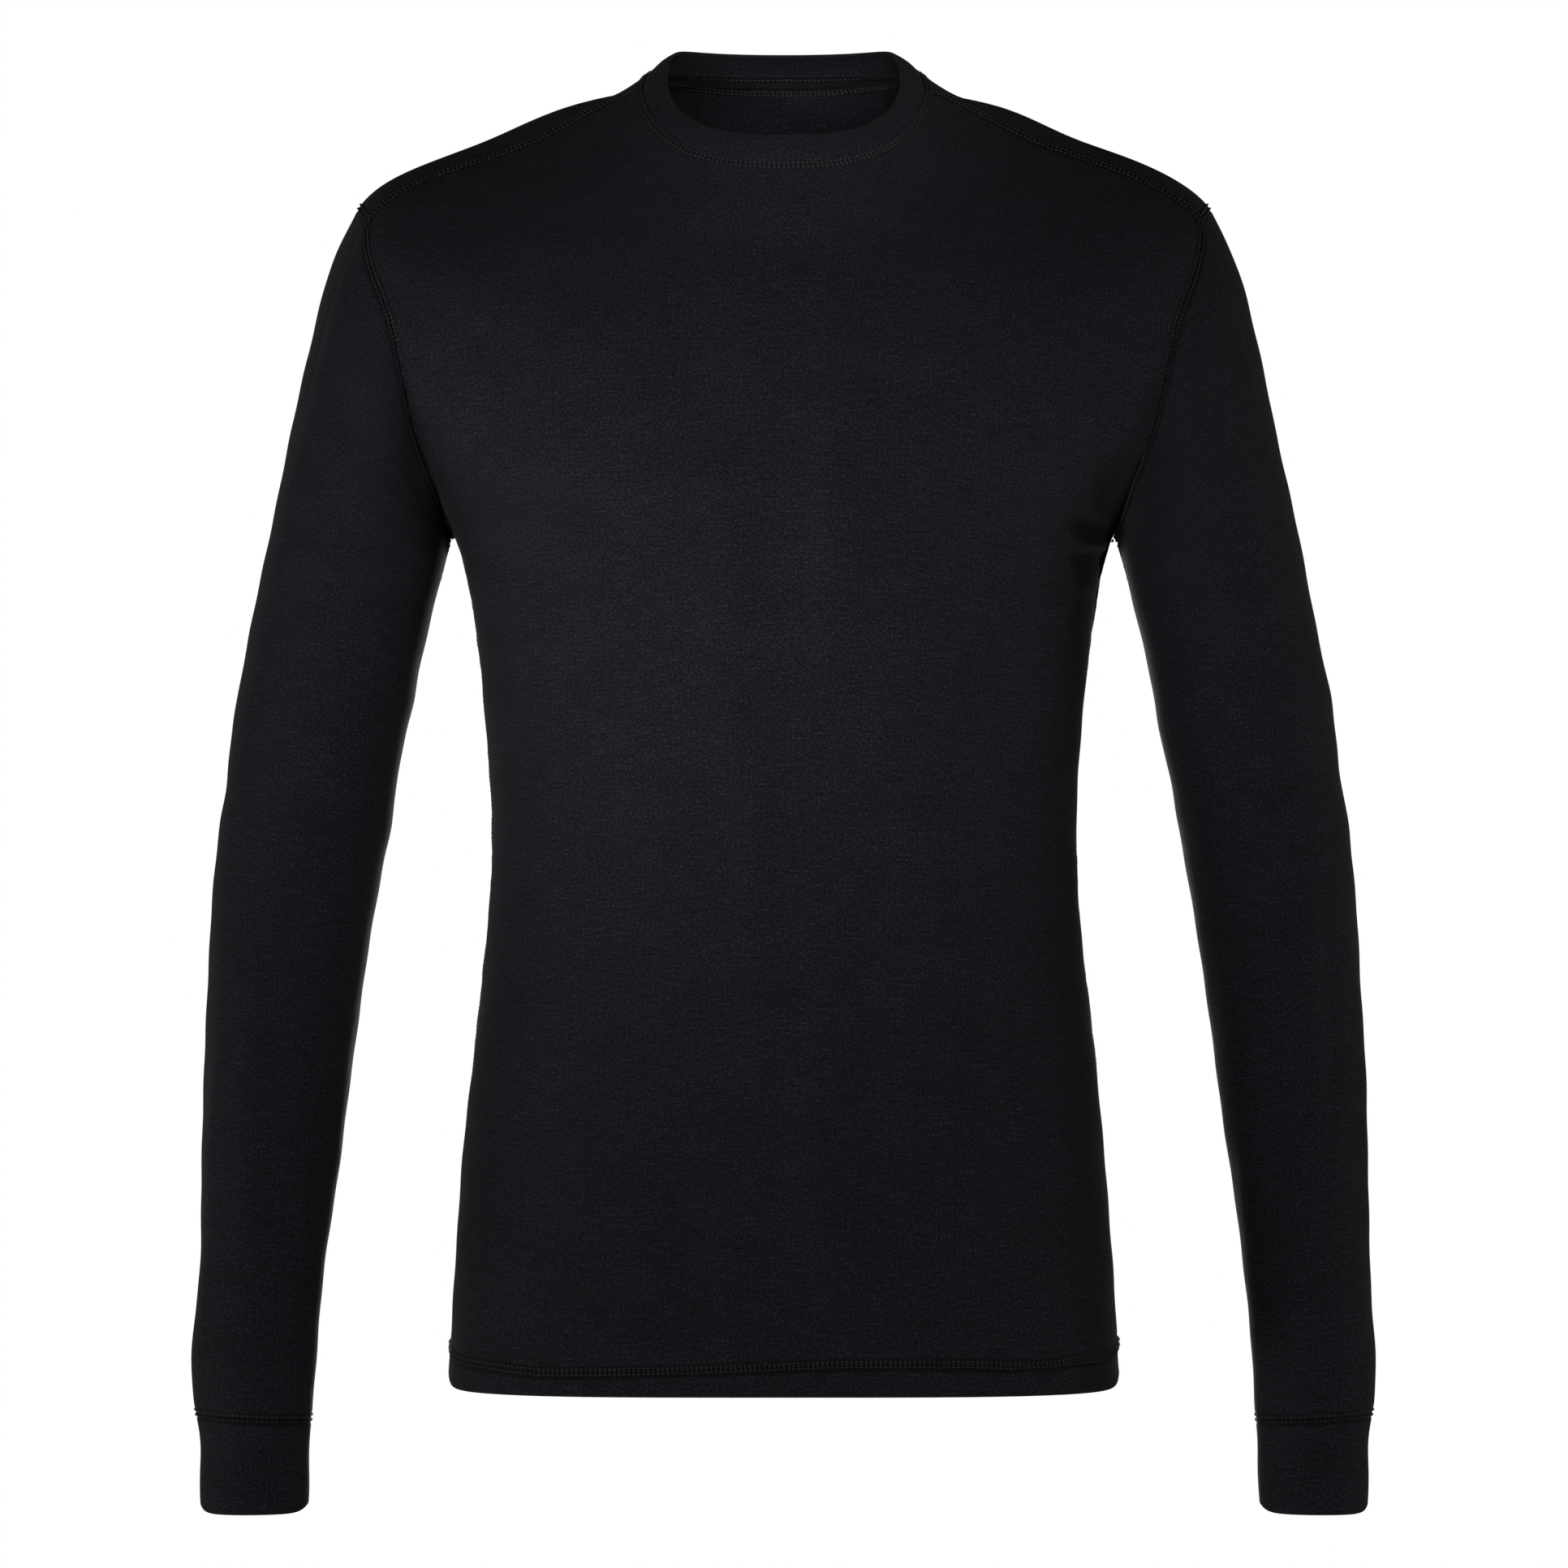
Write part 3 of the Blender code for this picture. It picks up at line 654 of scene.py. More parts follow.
JOIN_DEPTH, JOIN_WIDTH = {"neck": 0.6, "cuff": 0.15}, 0.7  # how far the join itself sinks in
# Painted shade along the join itself, at the neck and the cuff: how dark it is, and how wide.
JOIN_SHADE, JOIN_SHADE_WIDTH = 0.8, 0.8  # how dark it is, and how wide the dark is
EDGE_ROLL = 1.6  # how far in from an open edge its fold rounds off
EDGE_DROP = 0.7  # how far down the rounding goes at the edge


def hem_rise(x):
    """How far above the hem's edge its rows are centred, in mm, at x in metres."""
    return np.interp(x / MM, HEM_RISE_X, HEM_RISE)


def bump(place, width):
    """1 at place 0, falling smoothly to nothing over about twice the width."""
    return np.exp(-((place / width) ** 2))


def rows_height(place, rows):
    """The cloth's height in mm at a place in mm from the furrow between two rows."""
    up = bump(place - rows / 2, ROW_WIDTH) + bump(place + rows / 2, ROW_WIDTH)
    down = bump(place, FURROW_WIDTH) + bump(place + rows, FURROW_WIDTH)
    return ROW_RAISED * up - FURROW * (down + UPPER_FURROW * bump(place - rows, FURROW_WIDTH))


def painted_furrow_shade(place, rows):
    """Painted shade, from 0 to 1, in the furrows and round the needle holes."""
    holes = HOLE_SHADE * np.clip(0.5 - (abs(place) - rows / 2 - HOLE_REACH) / HOLE_FADE, 0, 1)
    furrows = [dark * bump(place - up * rows, width) for up, dark, width in FURROW_SHADE]
    return np.max([*furrows, holes], axis=0)


print("each 0.65 mm across a seam:", np.round(rows_height(np.arange(-3.9, 4, 0.65), 2.6), 2))

# %% Measure each point's distance to a seam


def thickly(line, step=0.5 * MM):
    """The line with a point at least every step."""
    lengths = lengths_along(line)
    return points_at(line, np.linspace(0, lengths[-1], max(2, int(lengths[-1] / step) + 1)))


def nearest_on(lines, points):
    """For each point, its distance in mm to these lines, and how far along them that is, in mm."""
    lines = [thickly(line) for line in lines]
    along = np.concatenate([lengths_along(line) for line in lines])
    tree = KDTree(len(along))
    for i, point in enumerate(np.concatenate(lines)):
        tree.insert(point, i)
    tree.balance()
    found = [tree.find(point) for point in points]
    distance = np.array([hit[2] for hit in found])
    return distance / MM, along[[hit[1] for hit in found]] / MM


def points_of(pieces):
    """Which points of the skin belong to the pieces whose names start so."""
    numbers = [i for i, name in enumerate(skin.names) if name.startswith(tuple(pieces.split()))]
    mask = np.zeros(len(skin.points), bool)
    mask[skin.faces[np.isin(skin.panel, numbers)]] = True
    return np.flatnonzero(mask)


hem_points = points_of("front back")
HEM_DISTANCE = np.full(len(skin.points), 1e3)
HEM_DISTANCE[hem_points] = nearest_on(SEAMS["hem"], skin.points[hem_points])[0]
print("points within 16 mm of the hem:", int(np.sum(HEM_DISTANCE < 16)))

# %% [markdown]
# ## Puckers
#
# Thread is less stretchy than knit, so cloth beside a seam is drawn into small uneven waves that
# run out from it and die away within a centimetre. A wave along the seam of a few unrelated
# lengths never repeats visibly, and costs nothing.

# %% Puckers along a seam
PUCKER_WAVES = (6.1, 9.7, 14.3, 23.9)  # mm
PUCKER_REACH = 7.0  # mm
PUCKER_COLUMNS = "seam pieces height".split()
PUCKERS = (
    ("armhole", "front back sleeve", 0.16),
    ("shoulder", "front back", 0.10),
    ("side", "front back", 0.12),
    ("underarm", "sleeve", 0.10),
    ("neck", "front back", 0.12),
    ("hem", "front back", 0.14),
    ("cuff", "sleeve cuff", 0.16),
)
random = np.random.default_rng(7)


def uneven(along, waves):
    """A wave of height about 1 along a line, made of several wavelengths with random starts."""
    starts = random.uniform(0, 2 * math.pi, len(waves))
    total = sum(np.sin(2 * math.pi * along / wave + start) for wave, start in zip(waves, starts))
    return total / math.sqrt(len(waves))


print("waves of", PUCKER_WAVES, "mm")

# %% Add up the relief
height = np.zeros(len(skin.points))  # mm, along the normals
# Shade painted into the knit's colour, 1 where it is darkest: in the furrows, round the needle holes
# and along the joins.
painted_shade = np.zeros(len(skin.points))  # 1 at the bottom of a furrow
for values in SEWING:
    row = dict(zip(SEWING_COLUMNS, values))
    relief = np.zeros(len(skin.points))
    for pieces, side in ((row["above"], 1), (row["below"], -1)):
        if not pieces:
            continue
        where = points_of(pieces)
        distance, _ = nearest_on(SEAMS[row["seam"]], skin.points[where])
        middle = hem_rise(skin.points[where, 0]) if row["seam"] == "hem" else row["middle"]
        place = side * distance - middle
        relief[where] = row["strength"] * rows_height(place, row["rows"])
        relief[where] -= JOIN_DEPTH.get(row["seam"], 0) * bump(distance, JOIN_WIDTH)
        # Painted shade in this seam's furrows and round its needle holes, and along the join at the
        # neck and the cuff.
        painted_seam_shade = np.clip(row["strength"] * painted_furrow_shade(place, row["rows"]), 0, 1)
        if row["seam"] in JOIN_DEPTH:
            painted_seam_shade = np.maximum(painted_seam_shade, JOIN_SHADE * bump(distance, JOIN_SHADE_WIDTH))
        painted_shade[where] = np.maximum(painted_shade[where], painted_seam_shade)
    height += relief
for values in PUCKERS:
    row = dict(zip(PUCKER_COLUMNS, values))
    where = points_of(row["pieces"])
    distance, along = nearest_on(SEAMS[row["seam"]], skin.points[where])
    if row["seam"] == "hem":
        distance = distance - hem_rise(skin.points[where, 0])
    fade = np.exp(-((distance / PUCKER_REACH) ** 2))
    height[where] += row["height"] * fade * uneven(along, PUCKER_WAVES)
for edge, pieces in (("hem", "front back"), ("cuff_end", "cuff")):
    where = points_of(pieces)
    distance, _ = nearest_on(SEAMS[edge], skin.points[where])
    inside = np.clip(1 - distance / EDGE_ROLL, 0, 1)
    # 0.98 and not 1, so that the rounding doesn't end in an upright wall
    height[where] -= EDGE_DROP * (1 - np.sqrt(1 - inside**2 * 0.98))
print("relief from", round(height.min(), 2), "to", round(height.max(), 2), "mm")

# %% [markdown]
# ## Soft folds
#
# A fitted knit over a rounded form has few folds, all soft: drag lines that fan out from the
# armpits, rings of slack at the elbows, a little slack above the cuffs, and long shallow drapes
# below the chest. Simulation would give some folds, but not these, so each one is listed as
# a bent line seen from one side, with its width and its height, up for a ridge and down for
# a trough. It swells from nothing at its ends. The table groups them by the side they are seen
# from and the pieces they are on. `a` is x from the front and the back, and y from the sides.

# %% The folds' table
FOLD_COLUMNS = "start_a start_z bend_a bend_z end_a end_z width height".split()
FOLDS = (
    # The chest and the front, seen from the front: a is x. Ridges catch light from the left.
    ("front", "front", (
        (24, -100, 27, -230, 20, -352, 14, 4.8),
        (-50, -72, -53, -125, -47, -192, 11, -2.6),
        (-28, -205, -25, -290, -32, -370, 12, 2.6),
        (-16, -330, -20, -430, -14, -530, 12, 2.7),
        (17, -465, 21, -560, 13, -645, 13, 3.4),
        (37, -390, 52, -510, 40, -592, 16, -3.0),
        (-50, -556, -55, -610, -46, -664, 14, -2.6),
        (8, -618, 12, -650, 16, -684, 15, -1.8),
        (-112, -400, -118, -500, -110, -612, 20, 1.5),
        (104, -430, 112, -530, 103, -640, 18, 1.5),
        (88, -150, 96, -230, 84, -330, 24, -1.5),
    )),
    # Drag lines from the armpits.
    ("front", "front", (
        (180, -196, 172, -245, 164, -300, 13, -3.2),
        (178, -247, 164, -243, 146, -236, 5, -4.4),
        (176, -258, 163, -256, 150, -259, 4, -4.0),
        (178, -251, 164, -250, 150, -251, 3.2, 2.0),
        (176, -270, 162, -268, 146, -280, 3.5, 1.6),
        (168, -229, 154, -229, 136, -219, 4, 1.0),
    )),
    ("front", "front sleeve", (
        (178, -226, 162, -208, 146, -172, 7, -1.2),
    )),
    ("front", "sleeve", (
        (-196, -168, -189, -212, -182, -246, 7, -2.6),
    )),
    ("front", "front", (
        (-178, -236, -160, -230, -136, -206, 5, -1.3),
        (-176, -247, -158, -246, -134, -234, 5, 1.2),
        (-176, -258, -158, -260, -136, -260, 5, -1.2),
    )),
    # The sleeve at +X: slack inside the elbow, a long thin fold outside, and slack at the cuff.
    ("front", "sleeve", (
        (208, -272, 228, -298, 254, -316, 11, -1.7),
        (214, -316, 236, -336, 270, -343, 12, 1.4),
        (220, -350, 242, -376, 274, -382, 10, -1.5),
        (283, -436, 289, -500, 286, -565, 4.5, -1.5),
        (274, -425, 279, -500, 276, -575, 7, 1.2),
        (250, -500, 257, -590, 259, -684, 10, -1),
        (267, -556, 271, -620, 268, -692, 9, 1),
        (252, -686, 274, -690, 300, -684, 6, 0.9),
    )),
    # The sleeve at -X.
    ("front", "sleeve", (
        (-210, -290, -230, -326, -264, -344, 10, -1.5),
        (-212, -330, -232, -360, -270, -372, 11, 1.4),
        (-216, -374, -237, -392, -272, -400, 10, -1.2),
        (-282, -415, -291, -520, -282, -625, 12, 1.4),
        (-262, -430, -268, -540, -262, -650, 10, -1.2),
        (-250, -520, -254, -600, -256, -690, 8, 0.9),
        (-303, -676, -280, -686, -253, -680, 6, 0.9),
        (-300, -656, -277, -662, -252, -660, 6, -0.8),
    )),
    # The back: a hollow along the spine, slack above the waist and below the shoulder blades.
    ("back", "back", (
        (-44, -110, -56, -220, -60, -325, 26, 1.5),
        (48, -105, 58, -225, 66, -340, 28, 1.7),
        (0, -140, 3, -300, -2, -430, 30, -1.3),
        (-118, -322, -40, -348, 28, -338, 9, 1.5),
        (-92, -352, 0, -380, 98, -360, 10, -1.7),
        (-58, -392, 22, -414, 114, -388, 10, 1.7),
        (-120, -420, -60, -446, 6, -440, 12, -1.2),
        (-34, -545, -38, -605, -28, -672, 18, -1.4),
        (52, -520, 58, -600, 49, -668, 20, 1.4),
    )),
    ("back", "back sleeve", (
        (178, -238, 160, -226, 126, -186, 7, -1.7),
        (176, -250, 156, -246, 120, -222, 7, 1.5),
        (174, -262, 156, -266, 128, -258, 7, -1.2),
        (-178, -236, -162, -222, -130, -180, 7, -1.5),
        (-176, -250, -154, -248, -118, -228, 7, 1.5),
    )),
    ("back", "sleeve", (
        (208, -300, 232, -322, 268, -330, 10, -1.7),
        (214, -342, 240, -360, 276, -364, 11, 1.7),
        (-210, -306, -234, -332, -266, -338, 10, -1.7),
        (-216, -350, -240, -370, -276, -372, 11, 1.5),
        (262, -450, 268, -540, 264, -640, 11, 1.2),
        (-264, -440, -270, -550, -262, -650, 11, 1.2),
    )),
    # The outer sides of the sleeves: a is y.
    ("left", "sleeve", (
        (-40, -322, 4, -340, 44, -326, 11, 0.7),
        (-42, -358, 0, -376, 42, -360, 11, -0.7),
        (-40, -394, 0, -408, 38, -390, 11, 0.6),
        (-18, -450, -28, -550, -36, -650, 10, 1.2),
    )),
    ("right", "sleeve", (
        (-38, -330, 6, -350, 46, -338, 11, 0.7),
        (-42, -368, 0, -386, 40, -374, 11, -0.7),
        (-14, -440, -22, -540, -34, -660, 11, -1.2),
    )),
    ("left", "front back", (
        (-34, -300, -28, -400, -36, -520, 14, 1.2),
    )),
    ("right", "front back", (
        (28, -310, 34, -420, 22, -540, 14, 1.2),
    )),
)
print(sum(len(folds) for _, _, folds in FOLDS), "folds in", len(FOLDS), "groups")

# %% Press the folds in
SIDES = {  # which way is across, and which way the side faces
    "front": (0, (0, -1, 0)),
    "back": (0, (0, 1, 0)),
    "left": (1, (1, 0, 0)),
    "right": (1, (-1, 0, 0)),
}
FOLD_POINTS = 13  # on a fold's bent line
SWELL_POWER = 0.8  # below 1, so that a fold is full over most of its length
FACING_GAIN = 1.5  # how soon a fold is whole as the cloth turns to face its side
BODY_WRAPS = 0.5  # how much further round it goes on the body than on a sleeve
BROAD_WAVES = 0.35  # mm, the unevenness of cloth that nothing pulls flat
BROAD_LENGTHS = (34, 47, 61, 83, 110)  # mm


def fold_height(points, normals, row):
    """One fold's height, in mm, at these points of the skin."""
    axis, facing = SIDES[row["side"]]
    flat = points[:, [axis, 2]] / MM
    ends = np.array([[row["start_a"], row["start_z"]], [row["end_a"], row["end_z"]]], float)
    bend = np.array([row["bend_a"], row["bend_z"]], float)
    share = np.linspace(0, 1, FOLD_POINTS)[:, None]
    line = ends[0] * (1 - share) ** 2 + 2 * bend * share * (1 - share) + ends[1] * share**2
    distance = np.full(len(flat), np.inf)
    along = np.zeros(len(flat))
    for i, (start, end) in enumerate(zip(line, line[1:])):
        reach = end - start
        at = np.clip((flat - start) @ reach / (reach @ reach), 0, 1)
        new = np.linalg.norm(flat - start - at[:, None] * reach, axis=1)
        closer = new < distance
        distance[closer] = new[closer]
        along[closer] = (i + at[closer]) / (len(line) - 1)
    swell = np.sin(math.pi * np.clip(along, 0, 1)) ** SWELL_POWER
    wraps = 0 if "sleeve" in row["pieces"] else BODY_WRAPS
    faces = np.clip(normals @ np.array(facing, float) * FACING_GAIN + wraps, 0, 1)
    return row["height"] * np.exp(-((distance / row["width"]) ** 2)) * swell * faces


def broad_height(points):
    """Slow waves over the whole skin, from a few crossing sines with fixed random directions."""
    total = np.zeros(len(points))
    for length in BROAD_LENGTHS:
        direction = unit(random.normal(size=3) * [1, 1, 0.6])
        start = random.uniform(0, 2 * math.pi)
        total += np.sin(points @ direction * 2 * math.pi / (length * MM) + start)
    return total / math.sqrt(len(BROAD_LENGTHS))


REST, REST_NORMALS = skin.points, skin.normals()
for side, pieces, folds in FOLDS:
    where = points_of(pieces)
    for values in folds:
        row = dict(zip(FOLD_COLUMNS, values), side=side, pieces=pieces)
        height[where] += fold_height(REST[where], REST_NORMALS[where], row)
height += BROAD_WAVES * broad_height(REST)
skin.points = REST + REST_NORMALS * height[:, None] * MM
normals = skin.normals()
surface = BVHTree.FromPolygons(skin.points.tolist(), skin.faces.tolist())
print("heights now", round(height.min(), 2), "to", round(height.max(), 2), "mm")

# %% [markdown]
# ## Cut the panels and give them thickness
#
# The cloth is 0.7 mm thick, doubled where the hem is turned up and at the cuffs. A Solidify
# modifier could thicken it, but it would work out each panel's edge alone. The skin's own
# normals are shared across a seam, so walls built along them meet there without a gap.
#
# Every face keeps its cloth coordinates, in metres, as a UV map. The knit's pattern is drawn on
# those, so it follows the cloth round the body and down the sleeves.

# %% Walls from the skin
KNIT = 0.7 * MM
BAND = 1.6 * MM


def mesh_object(name, points, faces, cloth, material, painted_shade_values=0.0):
    """A mesh object at the origin, smooth, with its cloth coordinates as a UV map."""
    mesh = bpy.data.meshes.new(name)
    mesh.from_pydata([tuple(p) for p in points], [], [tuple(f) for f in faces])
    layer = mesh.uv_layers.new(name="cloth")
    layer.data.foreach_set("uv", cloth.ravel())
    # The painted shade of the seams goes with each point, for the knit's colour to read.
    attribute = mesh.attributes.new("painted_shade", "FLOAT", "POINT")
    attribute.data.foreach_set("value", np.broadcast_to(painted_shade_values, len(points)).astype(np.float32))
    mesh.shade_smooth()
    mesh.materials.append(material)
    piece = bpy.data.objects.new(name, mesh)
    bpy.context.scene.collection.objects.link(piece)
    return piece


def wall_of(name, chosen, start, depth, material):
    """The chosen faces of the skin as a closed wall, from a start depth down by each depth."""
    faces, cloth = skin.faces[chosen], skin.cloth[chosen]
    used, index = np.unique(faces, return_inverse=True)
    index = index.reshape(faces.shape)
    outside = skin.points[used] - normals[used] * start
    inside = outside - normals[used] * np.broadcast_to(depth, len(skin.points))[used, None]
    count = len(used)
    edges = np.stack([index, np.roll(index, -1, axis=1)], axis=2).reshape(-1, 2)
    edge_cloth = np.stack([cloth, np.roll(cloth, -1, axis=1)], axis=2).reshape(-1, 2, 2)
    keys = np.sort(edges, axis=1) @ [count, 1]
    _, where, times = np.unique(keys, return_inverse=True, return_counts=True)
    rim = times[where.reshape(-1)] == 1
    a, b = edges[rim].T
    rims = np.stack([b, a, a + count, b + count], axis=1)
    rim_cloth = edge_cloth[rim][:, [1, 0, 0, 1]]
    every = np.concatenate([index, index[:, ::-1] + count, rims])
    flat = np.concatenate([cloth, cloth[:, ::-1], rim_cloth]).reshape(-1, 2)
    # Both faces of the wall take the shade painted along the seams.
    painted_shade_here = np.tile(painted_shade[used], 2)
    return mesh_object(name, np.concatenate([outside, inside]), every, flat, material, painted_shade_here)


print("one layer:", KNIT / MM, "mm; a doubled band:", BAND / MM, "mm")

# %% [markdown]
# ## The knit and the thread
#
# The black is uneven, as in a yarn whose fibres are dyed before they are spun. That gives three
# patterns at three sizes: a mottle of a millimetre or so, short thick places in the yarn that lie
# along the courses, and slow shading where the yarn changed. Over them lie the loops themselves,
# a column of V shapes every 0.75 mm, which only raise the surface.
#
# All of it is computed from the cloth coordinates. A picture of knit would be simpler to use but
# would blur close up and repeat far away.

# %% Small helpers for nodes


def set_input(tree, socket, value):
    """Gives an input a value, or links it to another node's output."""
    if isinstance(value, bpy.types.NodeSocket):
        tree.links.new(value, socket)
    else:
        socket.default_value = value


def add_node(tree, kind, inputs=(), **settings):
    """A node with these settings. An input is a value, or another node's output."""
    node = tree.nodes.new(kind)
    for name, value in settings.items():
        setattr(node, name, value)
    for key, value in dict(inputs).items():
        set_input(tree, node.inputs[key], value)
    return node


class Finish:
    """A material, whose nodes are added one at a time."""

    def __init__(self, name):
        self.material = bpy.data.materials.new(name)
        self.material.use_nodes = True
        self.tree = self.material.node_tree
        self.surface = self.tree.nodes["Principled BSDF"]

    def give(self, values):
        """Sets inputs of the surface, each to a value or to another node's output."""
        for key, value in values.items():
            set_input(self.tree, self.surface.inputs[key], value)

    def add(self, kind, inputs=(), **settings):
        return add_node(self.tree, "ShaderNode" + kind, inputs, **settings)

    def math(self, operation, a, b=0.0):
        return self.add("Math", {0: a, 1: b}, operation=operation).outputs[0]

    def plus(self, a, b):
        return self.math("ADD", a, b)

    def times(self, a, b):
        return self.math("MULTIPLY", a, b)

    def cloth(self, *scale):
        """The cloth coordinates, in metres, times a scale across and along."""
        uv = self.add("UVMap", uv_map="cloth").outputs[0]
        return self.add("VectorMath", {0: uv, 1: (*scale, 1)}, operation="MULTIPLY").outputs[0]

    def noise(self, across, along, detail=2.0, roughness=0.5):
        """Noise from 0 to 1 whose grains are across by along millimetres of cloth."""
        at = self.cloth(1 / (across * MM), 1 / (along * MM))
        inputs = {"Vector": at, "Scale": 1.0, "Detail": detail, "Roughness": roughness}
        return self.add("TexNoise", inputs).outputs["Fac"]


print("helpers ready")

# %% Knit
MOTTLE = (
    # grains across and along in mm, detail, roughness, and how strongly it shows
    (1.35, 1.25, 2.0, 0.6, 5.7),
    (13.0, 0.8, 2.0, 0.5, 2.0),
    (60.0, 25.0, 3.0, 0.5, 0.6),
)
FUZZ = (0.35, 0.35, 2.0, 0.6)  # grains across and along in mm, detail, roughness
WALE = 0.75  # mm from one column of loops to the next
COURSE = 0.55  # mm from one row of loops to the next
# Painted shade: the share of the knit's colour taken away at the bottom of a furrow.
PAINTED_FURROW_DARKNESS = 0.75  # how much of its light the cloth loses in a furrow
ROW_SHARE = 0.35  # how far rows of loops stand out, next to columns
LOOPS_RAISED, SLUBS_RAISED = 0.5, 0.8  # how far they stand out, next to the fuzz
KNIT_SURFACE = {
    "Roughness": 0.85,
    "Specular IOR Level": 0.2,
    "Sheen Weight": 0.03,
    "Sheen Roughness": 0.5,
}


def knit(name, colour, mottle=1.0, loops=1.0):
    """A knit of this colour. mottle and loops say how strongly each of them shows."""
    finish = Finish(name)
    grains = [finish.noise(*grain) for *grain, _ in MOTTLE]
    strengths = [strength for *_, strength in MOTTLE]
    shade = -0.5 * sum(strengths)
    for noise, strength in zip(grains, strengths):
        shade = finish.plus(shade, finish.times(noise, strength))
    shade = finish.math("EXPONENT", finish.times(shade, mottle))
    # Painted shade: the colour is darkened in the seams' furrows, round the needle holes and along
    # the joins.
    painted_shade_here = finish.add("Attribute", attribute_name="painted_shade").outputs["Fac"]
    painted_shade_factor = finish.math("SUBTRACT", 1.0, finish.times(painted_shade_here, PAINTED_FURROW_DARKNESS))
    shade = finish.times(shade, painted_shade_factor)
    tint = finish.add("VectorMath", {0: colour, "Scale": shade}, operation="SCALE").outputs[0]

    at = finish.add("SeparateXYZ", {0: finish.cloth(1 / (WALE * MM), 1 / (COURSE * MM))})
    across, along = at.outputs[0], at.outputs[1]
    slant = finish.math("PINGPONG", across, 0.5)
    row = finish.math("SINE", finish.times(finish.plus(along, slant), 2 * math.pi))
    column = finish.math("ABSOLUTE", finish.math("SINE", finish.times(across, math.pi)))
    loop = finish.plus(finish.times(row, ROW_SHARE), column)
    raised = finish.plus(finish.times(loop, LOOPS_RAISED * loops), finish.noise(*FUZZ))
    raised = finish.plus(raised, finish.times(grains[1], SLUBS_RAISED))
    bumps = finish.add("Bump", {"Height": raised, "Strength": 0.6, "Distance": 0.12 * MM})
    finish.give({"Base Color": tint, "Normal": bumps.outputs[0], **KNIT_SURFACE})
    return finish.material


COLOUR = (0.0100, 0.0093, 0.0135)
TAPE_COLOUR = (0.0088, 0.0084, 0.0118)
JERSEY = knit("jersey knit", COLOUR)
COLLAR_KNIT = knit("collar knit", COLOUR)
CUFF_KNIT = knit("cuff knit", COLOUR)
TAPE = knit("tape", TAPE_COLOUR, mottle=0.7, loops=0.5)
print("knits:", ", ".join(knitted.name for knitted in (JERSEY, COLLAR_KNIT, CUFF_KNIT, TAPE)))

# %% Thread
# The thread is lighter than the knit: partly its own tone, partly painted sheen of a shiny polyester
# thread.
THREAD_TONE_AND_SHEEN = (0.030, 0.0285, 0.033)
THREAD_GRAIN = 0.2  # mm
LEAST_BRIGHT, TWIST = 0.7, 0.6  # a thread's brightness is from 0.7 to 1.3 of its colour
thread = Finish("sewing thread")
grain = thread.noise(THREAD_GRAIN, THREAD_GRAIN)
twist = thread.plus(thread.times(grain, TWIST), LEAST_BRIGHT)
shade = thread.add("VectorMath", {0: THREAD_TONE_AND_SHEEN, "Scale": twist}, operation="SCALE")
thread.give({"Base Color": shade.outputs[0], "Roughness": 0.55, "Specular IOR Level": 0.4})
THREAD = thread.material
print("materials:", ", ".join(material.name for material in bpy.data.materials))

# %% Make the panels
HEM_TURN = 21.0  # how much is turned up inside the hem
TURN_FADE = 0.8  # over how much its end thins
PANELS = {
    "front": ("jersey", JERSEY),
    "back": ("jersey", JERSEY),
    "sleeve_left": ("jersey", JERSEY),
    "sleeve_right": ("jersey", JERSEY),
    "cuff_left": ("cuff_knit", CUFF_KNIT),
    "cuff_right": ("cuff_knit", CUFF_KNIT),
}
turned_up = np.clip((HEM_TURN - HEM_DISTANCE) / TURN_FADE, 0, 1)
depth = KNIT + (BAND - KNIT) * turned_up
made = {}
for name, (slot, material) in PANELS.items():
    chosen = skin.panel == skin.names.index(name)
    deep = BAND if name.startswith("cuff") else depth
    made[name] = wall_of("cloth_" + name, chosen, 0, deep, material)
    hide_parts(name)
    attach(made[name], "root")
    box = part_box(name)
    points = np.array([v.co for v in made[name].data.vertices])
    print(name, len(points), "points; past the solid, mm:",
          np.round((np.array(box[0]) - points.min(0)) / MM, 1),
          np.round((points.max(0) - np.array(box[1])) / MM, 1))

# %% [markdown]
# ## The collar
#
# The collar is one strip, folded in half along its length and sewn on by both its raw edges, so
# its top is a soft round fold. A rib or a bound edge would be other ways. We sweep its
# cross-section round the neck: up the outside, over the fold and down the inside. The base is
# tucked a little under the body's edge, where the stitches hold it down.

# %% The collar's table
COLLAR_TOP = dict(
    half_width=62.0, side_y=-10, side_z=-5.0, front_y=-60, front_z=-36.2, back_y=50, back_z=15.4,
    front_square=2.1, front_round=0.15, front_level=1.33,
    back_square=2.3, back_round=0.12, back_level=5.5,
)
COLLAR_THICK = 1.9 * MM
COLLAR_SWELL = 1.3 * MM
COLLAR_TUCK = 0.5 * MM
COLLAR_SHARES = np.concatenate([[0, 0.03, 0.07, 0.12, 0.18], np.linspace(0.25, 1, 12)])
FOLD_STEPS = 10
SWELLS = 0.8  # below 1, so that the collar is full over most of its height
UNEVEN_SHARE, TUCK_SHARE = 0.3, 0.2  # how far up the seam's bends are felt, and the tuck
COLLAR_WAVES, COLLAR_WAVE = (11, 17, 29, 53), 0.12  # mm long, mm high
EASE = 8.0  # mm along the ring, over which a stiff doubled band evens out its bends


def fold_ring(seam):
    """The top of the collar's fold, one point for each point of the neck seam."""
    half = len(seam) // 2
    shares = lengths_along(seam)[: half + 1] / lengths_along(seam)[half]
    top = body_ring(COLLAR_TOP)
    top = points_at(top, shares * lengths_along(top)[-1])
    return np.concatenate([top, mirrored(top)[1:-1][::-1]])


